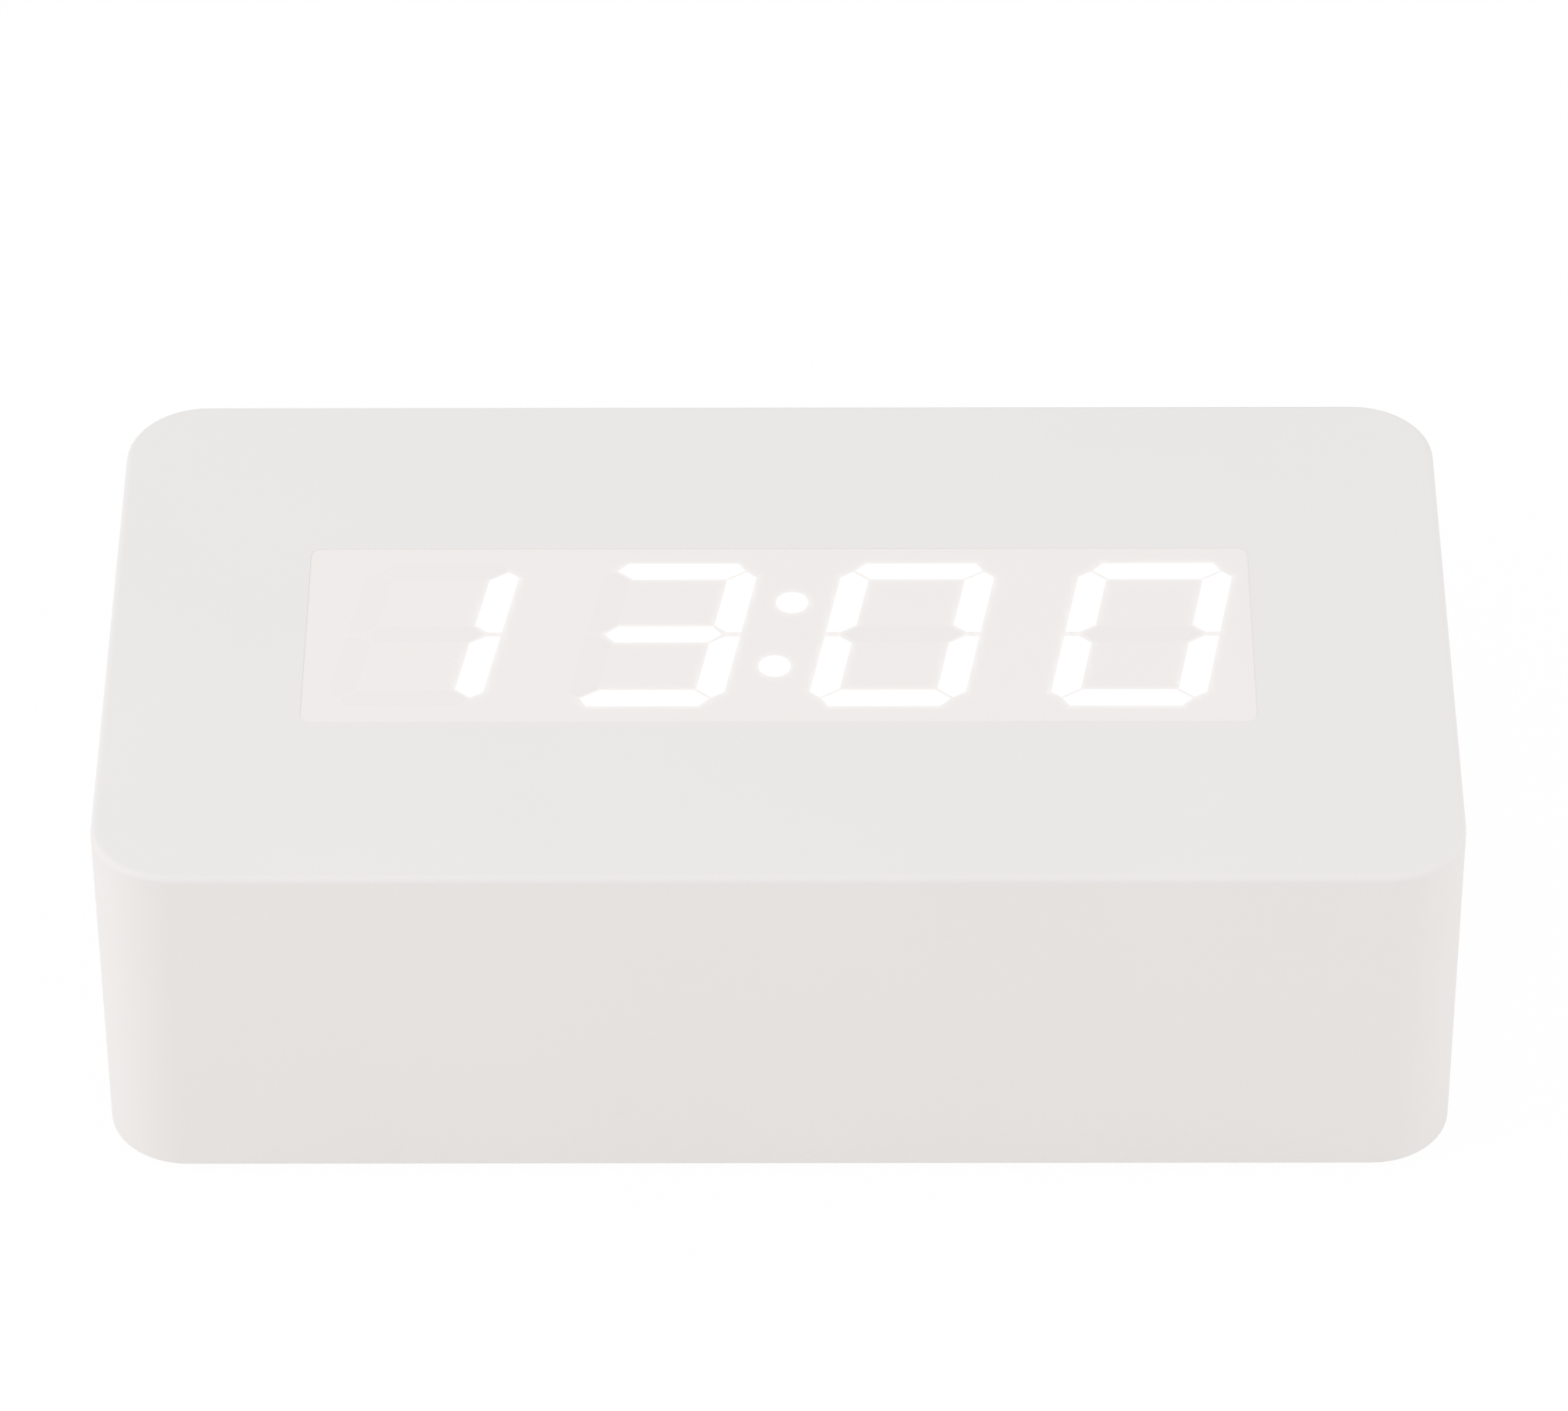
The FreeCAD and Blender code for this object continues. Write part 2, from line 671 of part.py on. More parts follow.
def shell_screw_holes():
    """Pilot holes in the posts and bosses, a little deeper than the screws reach."""
    pilot = SMALL_SCREW_RADIUS
    small_depth = SMALL_SCREW_REACH - BOARD_THICKNESS + PILOT_SPARE
    post_top = CUP_TOP_Z + CASE_SCREW_REACH + PILOT_SPARE
    holes = []
    for x, y in four_corners(POST_X, POST_Y):
        holes.append(disc_z(x, y, POST_PILOT_RADIUS, CUP_TOP_Z - PAST, post_top))
    for x, y in four_corners(DISPLAY_BOSS_X, DISPLAY_BOSS_Y):
        holes.append(disc_z(x, y, pilot, REFLECTOR_Z - PAST, REFLECTOR_Z + small_depth))
    for x in KEY_BOSS_XS:
        holes.append(disc_y(x, KEY_BOSS_Z, pilot, KEY_BOARD_Y, KEY_BOARD_FRONT_Y + small_depth))
    return holes


def top_shell():
    """Top and four walls in one moulding, with the window, rear panel and projector bay let in."""
    cavity = rounded_slab(INNER_WIDTH, INNER_DEPTH, INNER_RADIUS, BASE_Z - PAST, CEILING_Z)
    walls = shell_outside().cut(cavity)
    backing = box(
        PANEL_X0 - PANEL_WALL, PANEL_X1 + PANEL_WALL, PANEL_BACK_Y, REAR_Y - WALL + OVERLAP,
        PANEL_Z0 - PANEL_WALL, PANEL_Z1 + PANEL_WALL,
    )
    body = fuse([walls, backing] + shell_posts())
    cuts = shell_screw_holes()
    panel_xs = (PANEL_X0, PANEL_X1)
    panel_zs = (PANEL_Z0, PANEL_Z1)
    cuts.append(rounded_panel(panel_xs, panel_zs, PANEL_RADIUS, PANEL_Y, REAR_Y + PAST))
    cuts.append(rounded_slab(WINDOW_WIDTH, WINDOW_DEPTH, WINDOW_RADIUS, CEILING_Z - PAST, TOP_Z + PAST))
    cuts.append(rounded_panel(BAY_X, BAY_Z, BAY_RADIUS, REAR_Y - WALL - PAST, REAR_Y + PAST))
    for x in KEY_XS:
        cuts.append(disc_y(x, KEY_Z, KEY_RADIUS + KEY_CLEARANCE, PANEL_BACK_Y - PAST, PANEL_Y + PAST))
    cuts.append(slider_slot())
    cuts.append(usb_opening())
    cuts.append(disc_y(JACK_X, JACK_Z, JACK_NOSE_RADIUS + FIT_GAP, PANEL_BACK_Y - PAST, PANEL_Y + PAST))
    return body.cut(cuts)


def slider_slot():
    """Slot in the rear panel that the alarm switch's thumb piece slides along."""
    half_x = (SLIDER_THUMB[0] + SLIDER_TRAVEL) / 2 + SLIDER_PLAY
    half_z = SLIDER_THUMB[1] / 2 + SLIDER_PLAY
    xs = (SLIDER_X - half_x, SLIDER_X + half_x)
    zs = (SLIDER_Z - half_z, SLIDER_Z + half_z)
    return rounded_panel(xs, zs, SLIDER_SLOT_RADIUS, PANEL_BACK_Y - PAST, PANEL_Y + PAST)


def usb_opening():
    """Opening in the rear panel round the charging socket."""
    half_w = USB_WIDTH / 2 + PANEL_HOLE_GAP
    half_h = USB_HEIGHT / 2 + PANEL_HOLE_GAP
    xs = (USB_X - half_w, USB_X + half_w)
    zs = (USB_Z - half_h, USB_Z + half_h)
    return rounded_panel(xs, zs, PANEL_HOLE_RADIUS, PANEL_BACK_Y - PAST, PANEL_Y + PAST)


def bottom_cover():
    """The plate let in between the walls, with screw cups, standoffs, grille and the cell door's seat."""
    plate = rounded_slab(
        INNER_WIDTH - 2 * FIT_GAP, INNER_DEPTH - 2 * FIT_GAP, INNER_RADIUS - FIT_GAP, BASE_Z, COVER_TOP_Z
    )
    speaker_ring = ring_z(
        SPEAKER_X, SPEAKER_Y, SPEAKER_RADIUS + COVER_RIM, SPEAKER_RADIUS + FIT_GAP, BASE_Z,
        COVER_TOP_Z + SPEAKER_WELL_HEIGHT,
    )
    door_seat = disc_z(CELL_X, CELL_Y, DOOR_RADIUS + COVER_RIM, BASE_Z, SHELF_TOP_Z)
    additions = [plate, speaker_ring, door_seat]
    for x, y in four_corners(POST_X, POST_Y):
        additions.append(disc_z(x, y, CUP_RADIUS, BASE_Z, CUP_TOP_Z))
    for x, y in STANDOFF_XY:
        additions.append(disc_z(x, y, STANDOFF_RADIUS, BASE_Z, MAIN_Z))
    cuts = grille_holes()
    for x, y in four_corners(FOOT_X, FOOT_Y):
        cuts.append(disc_z(x, y, FOOT_RADIUS, BASE_Z - PAST, BASE_Z + FOOT_RECESS))
    for x, y in four_corners(POST_X, POST_Y):
        cuts.append(disc_z(x, y, CUP_BORE_RADIUS, BASE_Z - PAST, CUP_TOP_Z - CUP_FLOOR))
        cuts.append(disc_z(x, y, CUP_HOLE_RADIUS, BASE_Z, CUP_TOP_Z + PAST))
    pilot_floor = MAIN_TOP_Z - SMALL_SCREW_REACH - PILOT_SPARE
    for x, y in STANDOFF_XY:
        cuts.append(disc_z(x, y, SMALL_SCREW_RADIUS, pilot_floor, MAIN_Z + PAST))
    cuts.append(disc_z(CELL_X, CELL_Y, DOOR_RADIUS + DOOR_GAP, BASE_Z - PAST, SHELF_Z))
    cuts.append(disc_z(CELL_X, CELL_Y, NECK_RADIUS + DOOR_GAP, BASE_Z, SHELF_TOP_Z + PAST))
    cuts += door_notches()
    return fuse(additions).cut(cuts)


def grille_holes():
    """Sound holes: one in the middle and 6, 12 and 18 on rings about it."""
    holes = [disc_z(SPEAKER_X, SPEAKER_Y, GRILLE_HOLE_RADIUS, BASE_Z - PAST, COVER_TOP_Z + PAST)]
    for ring in range(1, GRILLE_RINGS + 1):
        count = 6 * ring
        for step in range(count):
            angle = 2 * math.pi * step / count
            x = SPEAKER_X + GRILLE_RING_STEP * ring * math.cos(angle)
            y = SPEAKER_Y + GRILLE_RING_STEP * ring * math.sin(angle)
            holes.append(disc_z(x, y, GRILLE_HOLE_RADIUS, BASE_Z - PAST, COVER_TOP_Z + PAST))
    return holes


def rubber_feet():
    """Four pads pressed into the cover's recesses, with their lower edges broken."""
    feet = []
    for x, y in four_corners(FOOT_X, FOOT_Y):
        foot = disc_z(x, y, FOOT_RADIUS, 0.0, BASE_Z + FOOT_RECESS)
        feet.append(foot.makeChamfer(FOOT_BREAK, edges_at_z(foot, 0.0)))
    return group(feet)


def case_screws():
    """Four screws from the cover's cups into the shell's posts."""
    seat_z = CUP_TOP_Z - CUP_FLOOR
    return group([
        pan_screw(
            Vector(x, y, seat_z), Vector(0, 0, 1), POST_PILOT_RADIUS, CASE_SCREW_HEAD_RADIUS,
            CASE_SCREW_HEAD_HEIGHT, CUP_FLOOR + CASE_SCREW_REACH,
        )
        for x, y in four_corners(POST_X, POST_Y)
    ])


# Display

def display_window():
    """The opal face: a land that fills the opening in the top, a flange behind it, and segment wells."""
    land = rounded_slab(
        WINDOW_WIDTH - 2 * WINDOW_GAP, WINDOW_DEPTH - 2 * WINDOW_GAP, WINDOW_RADIUS - WINDOW_GAP, FLANGE_Z,
        TOP_Z - WINDOW_SINK,
    )
    flange = rounded_slab(
        WINDOW_WIDTH + 2 * FLANGE_MARGIN, WINDOW_DEPTH + 2 * FLANGE_MARGIN, WINDOW_RADIUS, FLANGE_Z,
        CEILING_Z,
    )
    lit, dark = segment_solids(FLANGE_Z - PAST, TOP_Z + PAST)
    return fuse([land, flange]).cut(lit + dark)


def reflector_block():
    """White block behind the face, with a well under each segment."""
    block = rounded_slab(
        WINDOW_WIDTH + FLANGE_MARGIN, WINDOW_DEPTH + FLANGE_MARGIN, WINDOW_RADIUS, REFLECTOR_Z, FLANGE_Z
    )
    lit, dark = segment_solids(REFLECTOR_Z - PAST, FLANGE_Z + PAST)
    return block.cut(lit + dark)


def segment_leds():
    """One light chip on the display board under each segment and dot."""
    length, depth, height = LIGHT_CHIP
    lit, dark = segment_solids(REFLECTOR_Z, FLANGE_Z)
    chips = []
    for well in lit + dark:
        x, y, z = well.CenterOfMass
        top = REFLECTOR_Z + height
        chips.append(box(x - length / 2, x + length / 2, y - depth / 2, y + depth / 2, REFLECTOR_Z, top))
    return group(chips)


def display_board():
    """Circuit board under the reflector, hung on the shell's four bosses."""
    board = rounded_slab(
        DISPLAY_BOARD_WIDTH, DISPLAY_BOARD_DEPTH, BOARD_CORNER_RADIUS, DISPLAY_BOARD_Z, REFLECTOR_Z
    )
    corners = four_corners(DISPLAY_BOSS_X, DISPLAY_BOSS_Y)
    return board.cut([disc_z(x, y, BOARD_HOLE_RADIUS, 0, TOP_Z) for x, y in corners])


def touch_pad():
    """Foil stuck under the top in front of the display: it feels a hand laid there for snooze."""
    return rounded_slab(
        TOUCH_PAD_WIDTH, TOUCH_PAD_DEPTH, TOUCH_PAD_CORNER, CEILING_Z - TOUCH_PAD_THICKNESS, CEILING_Z,
        0.0, TOUCH_PAD_Y,
    )


# Main board and what it carries

def main_board():
    """Board on the cover's standoffs that carries the clock chip, sockets and cell holder."""
    middle_x = sum(MAIN_X) / 2
    middle_y = sum(MAIN_Y) / 2
    board = rounded_slab(
        MAIN_X[1] - MAIN_X[0], MAIN_Y[1] - MAIN_Y[0], BOARD_CORNER_RADIUS, MAIN_Z, MAIN_TOP_Z,
        middle_x, middle_y,
    )
    return board.cut([disc_z(x, y, BOARD_HOLE_RADIUS, 0, TOP_Z) for x, y in STANDOFF_XY])


def board_screws():
    """The identical small screws of the main board, display board and key board."""
    screws = [small_screw(Vector(x, y, MAIN_TOP_Z), Vector(0, 0, -1)) for x, y in STANDOFF_XY]
    for x, y in four_corners(DISPLAY_BOSS_X, DISPLAY_BOSS_Y):
        screws.append(small_screw(Vector(x, y, DISPLAY_BOARD_Z), Vector(0, 0, 1)))
    for x in KEY_BOSS_XS:
        screws.append(small_screw(Vector(x, KEY_BOARD_Y, KEY_BOSS_Z), Vector(0, 1, 0)))
    return group(screws)


def clock_chip():
    """The clock's controller, on the main board."""
    return soldered_chip(CLOCK_CHIP_XY, MAIN_TOP_Z, 1, CLOCK_CHIP)


def driver_chip():
    """Display driver, under the display board."""
    return soldered_chip(DRIVER_CHIP_XY, DISPLAY_BOARD_Z, -1, DRIVER_CHIP)


def crystal_can():
    """Timing crystal in its flat-sided metal can."""
    length, width, height = CRYSTAL
    top = MAIN_TOP_Z + height
    can = rounded_slab(length, width, CRYSTAL_END_RADIUS, MAIN_TOP_Z, top, *CRYSTAL_XY)
    return can.makeFillet(CRYSTAL_EDGE_ROUND, edges_at_z(can, top))


def supply_capacitors():
    """Two upright electrolytic cans beside the power inlet, each with a crimped groove."""
    cans = []
    crimp_z = MAIN_TOP_Z + CRIMP_RISE
    for x, (radius, height) in zip(CAPACITOR_XS, CAPACITOR_SIZES):
        top = MAIN_TOP_Z + height
        can = disc_z(x, CAPACITOR_Y, radius, MAIN_TOP_Z, top)
        can = can.makeFillet(CAPACITOR_EDGE_ROUND, edges_at_z(can, top))
        crimp = ring_z(x, CAPACITOR_Y, radius + PAST, radius - CRIMP_DEPTH, crimp_z, crimp_z + CRIMP_WIDTH)
        cans.append(can.cut(crimp))
    return group(cans)


def ribbon_sockets():
    """The two slotted sockets that the flat cable plugs into."""
    width, depth, height = RIBBON_SOCKET
    slot = RIBBON_WIDTH / 2 + RIBBON_SLOT_SPARE
    half_slot = RIBBON_THICKNESS / 2
    sockets = []
    for y, z0, z1 in (
        (RIBBON_LOW_Y, MAIN_TOP_Z, MAIN_TOP_Z + height),
        (RIBBON_HIGH_Y, DISPLAY_BOARD_Z - height, DISPLAY_BOARD_Z),
    ):
        seat = (z0 + RIBBON_SEAT, z1 + PAST) if y == RIBBON_LOW_Y else (z0 - PAST, z1 - RIBBON_SEAT)
        block = box(RIBBON_X - width / 2, RIBBON_X + width / 2, y - depth / 2, y + depth / 2, z0, z1)
        mouth = box(RIBBON_X - slot, RIBBON_X + slot, y - half_slot, y + half_slot, *seat)
        sockets.append(block.cut(mouth))
    return group(sockets)


def ribbon_cable():
    """Flat cable from board to board in one S bend of two equal arcs."""
    start = Vector(RIBBON_X, RIBBON_LOW_Y, MAIN_TOP_Z + RIBBON_SEAT)
    end = Vector(RIBBON_X, RIBBON_HIGH_Y, DISPLAY_BOARD_Z - RIBBON_SEAT)
    low = start + Vector(0, 0, RIBBON_STRAIGHT)
    high = end - Vector(0, 0, RIBBON_STRAIGHT)
    centre = (low + high) * 0.5
    shift = high.y - low.y
    rise = high.z - low.z
    radius = (shift * shift + rise * rise) / (4 * shift)
    eighth = math.asin(rise / 2 / radius) / 2
    first = low + Vector(0, radius * (1 - math.cos(eighth)), radius * math.sin(eighth))
    second = centre * 2 - first
    path = Part.Wire([
        Part.LineSegment(start, low).toShape(),
        Part.Arc(low, first, centre).toShape(),
        Part.Arc(centre, second, high).toShape(),
        Part.LineSegment(high, end).toShape(),
    ])
    across = Vector(RIBBON_WIDTH / 2, 0, 0)
    through = Vector(0, RIBBON_THICKNESS / 2, 0)
    corners = [start - across - through, start + across - through, start + across + through,
               start - across + through]
    section = Part.makePolygon(corners + corners[:1])
    return path.makePipeShell([section], True, False)


# Rear panel

def key_cap(x):
    """A round key with a dished face, and the flange that keeps it in behind the wall."""
    face_y = PANEL_Y + KEY_PROUD
    cap = disc_y(x, KEY_Z, KEY_RADIUS, KEY_FLANGE_BACK_Y, face_y)
    cap = cap.makeFillet(KEY_EDGE_ROUND, edges_at_y(cap, face_y))
    flange_y = KEY_FLANGE_BACK_Y + KEY_FLANGE_THICKNESS
    flange = disc_y(x, KEY_Z, KEY_FLANGE_RADIUS, KEY_FLANGE_BACK_Y, flange_y)
    dish_y = face_y + KEY_DISH_RADIUS - KEY_DISH_DEPTH
    return fuse([cap, flange]).cut(Part.makeSphere(KEY_DISH_RADIUS, Vector(x, dish_y, KEY_Z)))


def key_plunger(x):
    """The push switch's own plunger, which the key rests on."""
    return disc_y(x, KEY_Z, PLUNGER_RADIUS, SWITCH_FRONT_Y - PLUNGER_DEPTH, KEY_FLANGE_BACK_Y)


def tact_switches():
    """Five push-switch bodies on the key board, each with the well that its plunger sinks into."""
    half = SWITCH_SIZE / 2
    floor_y = SWITCH_FRONT_Y - PLUNGER_DEPTH - KEY_TRAVEL - PLUNGER_FLOOR_GAP
    bodies = []
    for x in KEY_XS:
        body = box(x - half, x + half, KEY_BOARD_FRONT_Y, SWITCH_FRONT_Y, KEY_Z - half, KEY_Z + half)
        well = disc_y(x, KEY_Z, PLUNGER_RADIUS + PLUNGER_CLEARANCE, floor_y, SWITCH_FRONT_Y + PAST)
        bodies.append(body.cut(well))
    return group(bodies)


def key_board():
    """Upright board behind the keys, screwed to two bosses on the rear wall."""
    board = rounded_panel(
        KEY_BOARD_X, KEY_BOARD_Z, BOARD_CORNER_RADIUS, KEY_BOARD_Y, KEY_BOARD_FRONT_Y
    )
    return board.cut([disc_y(x, KEY_BOSS_Z, BOARD_HOLE_RADIUS, 0, REAR_Y) for x in KEY_BOSS_XS])


def board_header():
    """Header strip that joins the key board to the main board, waisted between its pins."""
    front = KEY_BOARD_Y - HEADER_DEPTH
    strip = box(*HEADER_X, front, KEY_BOARD_Y, MAIN_TOP_Z, KEY_BOARD_Z[0] + HEADER_LAP)
    pitch = (HEADER_X[1] - HEADER_X[0]) / HEADER_PINS
    half = HEADER_NOTCH / 2
    notches = []
    for place in range(1, HEADER_PINS):
        x = HEADER_X[0] + place * pitch
        notches.append(box(x - half, x + half, front - PAST, front + HEADER_NOTCH, 0, TOP_Z))
    return strip.cut(notches)


def alarm_switch_body():
    """Slide switch on the main board: a case open to the rear, where its slider runs."""
    half_run_x = SLIDER_FOOT[0] / 2 + SLIDER_TRAVEL / 2 + SLIDER_RUN_SPARE
    half_run_z = SLIDER_FOOT[1] / 2 + SLIDER_CLEARANCE
    half_x = half_run_x + SLIDER_CASE_WALL
    body = box(
        SLIDER_X - half_x, SLIDER_X + half_x, SLIDER_BACK_Y - SLIDER_CASE_WALL, SLIDER_WALL_Y,
        MAIN_TOP_Z, SLIDER_Z + SLIDER_CASE_HALF_HEIGHT,
    )
    run = box(
        SLIDER_X - half_run_x, SLIDER_X + half_run_x, SLIDER_BACK_Y, SLIDER_WALL_Y + PAST,
        SLIDER_Z - half_run_z, SLIDER_Z + half_run_z,
    )
    return body.cut(run)


def alarm_slider():
    """The slider at its left stop: a foot in the case, and a thumb piece with grooves through the slot."""
    x = SLIDER_X - SLIDER_TRAVEL / 2
    half_foot_x, half_foot_z = (size / 2 for size in SLIDER_FOOT)
    half_thumb_x, half_thumb_z = (size / 2 for size in SLIDER_THUMB)
    face_y = PANEL_Y + SLIDER_PROUD
    foot_y = SLIDER_WALL_Y - SLIDER_CLEARANCE
    foot = box(
        x - half_foot_x, x + half_foot_x, SLIDER_BACK_Y + SLIDER_CLEARANCE, foot_y,
        SLIDER_Z - half_foot_z, SLIDER_Z + half_foot_z,
    )
    thumb = box(
        x - half_thumb_x, x + half_thumb_x, foot_y - OVERLAP, face_y,
        SLIDER_Z - half_thumb_z, SLIDER_Z + half_thumb_z,
    )
    half = THUMB_GROOVE_WIDTH / 2
    floor_y = face_y - THUMB_GROOVE_DEPTH
    grooves = []
    for step in range(THUMB_GROOVES):
        groove_x = x + (step - (THUMB_GROOVES - 1) / 2) * THUMB_GROOVE_PITCH
        grooves.append(box(groove_x - half, groove_x + half, floor_y, face_y + PAST, 0, TOP_Z))
    return fuse([foot, thumb]).cut(grooves)


def usb_shell():
    """Folded steel shell of the charging socket, open to the rear."""
    half_w = USB_WIDTH / 2
    half_h = USB_HEIGHT / 2
    outer = rounded_panel(
        (USB_X - half_w, USB_X + half_w), (USB_Z - half_h, USB_Z + half_h), USB_CORNER_RADIUS,
        USB_BACK_Y, USB_FACE_Y,
    )
    inner = box(
        USB_X - half_w + USB_SHEET, USB_X + half_w - USB_SHEET, USB_BACK_Y + USB_SHEET, REAR_Y,
        USB_Z - half_h + USB_SHEET, USB_Z + half_h - USB_SHEET,
    )
    return outer.cut(inner)


def usb_tongue():
    """Insulator in the socket: a block at the back, and a flat tongue with four contact grooves."""
    half_w = USB_WIDTH / 2 - USB_SHEET
    half_h = USB_HEIGHT / 2 - USB_SHEET
    block_y = USB_BACK_Y + USB_BLOCK_DEPTH
    back = box(
        USB_X - half_w, USB_X + half_w, USB_BACK_Y + USB_SHEET, block_y, USB_Z - half_h, USB_Z + half_h
    )
    low, high = (USB_Z + rise for rise in USB_TONGUE_RISE)
    half_tongue = USB_TONGUE_WIDTH / 2
    tip_y = PANEL_Y - USB_TONGUE_SINK
    tongue = box(USB_X - half_tongue, USB_X + half_tongue, block_y - OVERLAP, tip_y, low, high)
    half = USB_CONTACT_WIDTH / 2
    run_y = (block_y + USB_CONTACT_BACK, PANEL_Y - USB_CONTACT_FRONT)
    grooves = []
    for place in USB_CONTACT_XS:
        x = USB_X + place
        grooves.append(box(x - half, x + half, *run_y, low - PAST, low + USB_CONTACT_DEPTH))
    return fuse([back, tongue]).cut(grooves)


def jack_body():
    """Power inlet: a square block on the board with a round nose through the wall, bored for the plug."""
    block = box(
        JACK_X - JACK_BLOCK_HALF, JACK_X + JACK_BLOCK_HALF, JACK_BACK_Y, PANEL_BACK_Y - FACE_GAP,
        MAIN_TOP_Z, JACK_Z + JACK_BLOCK_HALF,
    )
    nose = disc_y(JACK_X, JACK_Z, JACK_NOSE_RADIUS, JACK_BACK_Y + OVERLAP, JACK_FACE_Y)
    nose = nose.makeFillet(JACK_NOSE_ROUND, edges_at_y(nose, JACK_FACE_Y))
    bore = disc_y(JACK_X, JACK_Z, JACK_BORE_RADIUS, PANEL_Y - JACK_BORE_DEPTH, REAR_Y)
    return fuse([block, nose]).cut(bore)


def jack_pin():
    """Centre contact of the power inlet, with a rounded tip."""
    tip_y = PANEL_Y - JACK_PIN_SINK
    pin = disc_y(JACK_X, JACK_Z, JACK_PIN_RADIUS, PANEL_Y - JACK_BORE_DEPTH, tip_y)
    return pin.makeFillet(JACK_PIN_ROUND, edges_at_y(pin, tip_y))


# Coin cell

def cell_wedge(inner, outer, middle, span, z0, z1):
    """Part of a ring about the cell's axis: span degrees wide about the angle middle."""
    wedge = Part.makeCylinder(outer, z1 - z0, Vector(CELL_X, CELL_Y, z0), Vector(0, 0, 1), span)
    wedge.rotate(Vector(CELL_X, CELL_Y, z0), Vector(0, 0, 1), middle - span / 2)
    return wedge.cut(disc_z(CELL_X, CELL_Y, inner, z0 - PAST, z1 + PAST))


def door_notches():
    """Gaps in the seat's shelf that let the door's lugs through once it is turned open."""
    outer = NECK_RADIUS + LUG_REACH + DOOR_GAP
    notches = []
    for step in range(LUG_COUNT):
        middle = step * 360.0 / LUG_COUNT - DOOR_TURN
        notches.append(cell_wedge(
            NECK_RADIUS, outer, middle, NOTCH_SPAN, SHELF_Z - PAST, SHELF_TOP_Z + PAST
        ))
    return notches


def battery_door():
    """Round door, locked: a coin slot outside, a hollow neck, and three lugs over the shelf."""
    z0 = BASE_Z + DOOR_SINK
    disc = disc_z(CELL_X, CELL_Y, DOOR_RADIUS, z0, z0 + DOOR_THICKNESS)
    disc = disc.makeChamfer(DOOR_EDGE_BREAK, edges_at_z(disc, z0))
    lug_top = LUG_Z + LUG_THICKNESS
    neck = ring_z(CELL_X, CELL_Y, NECK_RADIUS, NECK_RADIUS - NECK_WALL, z0 + DOOR_ROOT, lug_top)
    pieces = [disc, neck]
    for step in range(LUG_COUNT):
        middle = step * 360.0 / LUG_COUNT
        pieces.append(cell_wedge(
            NECK_RADIUS - LUG_ROOT, NECK_RADIUS + LUG_REACH, middle, LUG_SPAN, LUG_Z, lug_top
        ))
    coin_z = z0 - COIN_RADIUS + COIN_SLOT_DEPTH
    half_slot = COIN_SLOT_WIDTH / 2
    return fuse(pieces).cut(disc_x(CELL_Y, coin_z, COIN_RADIUS, CELL_X - half_slot, CELL_X + half_slot))


def coin_cell():
    """Back-up cell, 20 mm by 3.2 mm: the wide can above and the narrower cap below it."""
    step_z = CELL_Z + CELL_CAP_HEIGHT
    top_z = CELL_Z + CELL_HEIGHT
    cap = disc_z(CELL_X, CELL_Y, CELL_RADIUS - CELL_CAP_INSET, CELL_Z, step_z)
    can = disc_z(CELL_X, CELL_Y, CELL_RADIUS, step_z, top_z)
    return fuse([cap, can.makeFillet(CELL_EDGE_ROUND, edges_at_z(can, top_z))])


def cell_holder():
    """Cup under the main board that the cell is pushed up into."""
    outer = disc_z(CELL_X, CELL_Y, CELL_RADIUS + HOLDER_WALL, CELL_Z - HOLDER_LIP, MAIN_Z)
    roof_z = CELL_Z + CELL_HEIGHT + CONTACT_THICKNESS
    return outer.cut(disc_z(CELL_X, CELL_Y, CELL_RADIUS + HOLDER_PLAY, CELL_Z - PAST, roof_z))


def cell_contact():
    """Contact strip pressed between the cell and its holder."""
    half_x = CONTACT_LENGTH / 2
    half_y = CONTACT_WIDTH / 2
    z0 = CELL_Z + CELL_HEIGHT
    z1 = z0 + CONTACT_THICKNESS
    return box(CELL_X - half_x, CELL_X + half_x, CELL_Y - half_y, CELL_Y + half_y, z0, z1)


# Sounder

def speaker_frame():
    """Pressed basket whose rim stands on the cover, open in the middle for the magnet."""
    low = COVER_TOP_Z
    rim_top = low + SPEAKER_RIM_HEIGHT
    high = low + BASKET_HEIGHT
    under = high - BASKET_SHEET
    inside = SPEAKER_RADIUS - SPEAKER_RIM_WIDTH
    return turned([
        (inside, low),
        (SPEAKER_RADIUS, low),
        (SPEAKER_RADIUS, rim_top),
        (SPEAKER_RADIUS - SPEAKER_RIM_HEIGHT, rim_top),
        (BASKET_SHOULDER, high),
        (BASKET_THROAT, high),
        (BASKET_THROAT, under),
        (BASKET_SHOULDER - BASKET_SHEET / 2, under),
        (inside, low + SPEAKER_RIM_HEIGHT / 2),
    ], SPEAKER_X, SPEAKER_Y)


def speaker_cone():
    """Paper cone with a rolled edge inside the basket's rim and a dome in the middle."""
    middle = (0.0, 1.3)
    dome_edge = (3.0, 1.6)
    neck = (4.0, 2.7)
    foot = (9.4, 1.0)
    roll_crest = (10.6, 1.4)
    glued_edge = (SPEAKER_RADIUS - SPEAKER_RIM_WIDTH, 0.3)
    face = [
        (radius, COVER_TOP_Z + rise)
        for radius, rise in (middle, dome_edge, neck, foot, roll_crest, glued_edge)
    ]
    back = [(radius, z + CONE_THICKNESS) for radius, z in reversed(face)]
    return turned(face + back, SPEAKER_X, SPEAKER_Y)


def speaker_magnet():
    """Magnet pot on the back of the basket."""
    z0 = COVER_TOP_Z + BASKET_HEIGHT
    z1 = z0 + MAGNET_HEIGHT
    pot = disc_z(SPEAKER_X, SPEAKER_Y, MAGNET_RADIUS, z0, z1)
    return pot.makeFillet(MAGNET_EDGE_ROUND, edges_at_z(pot, z1))


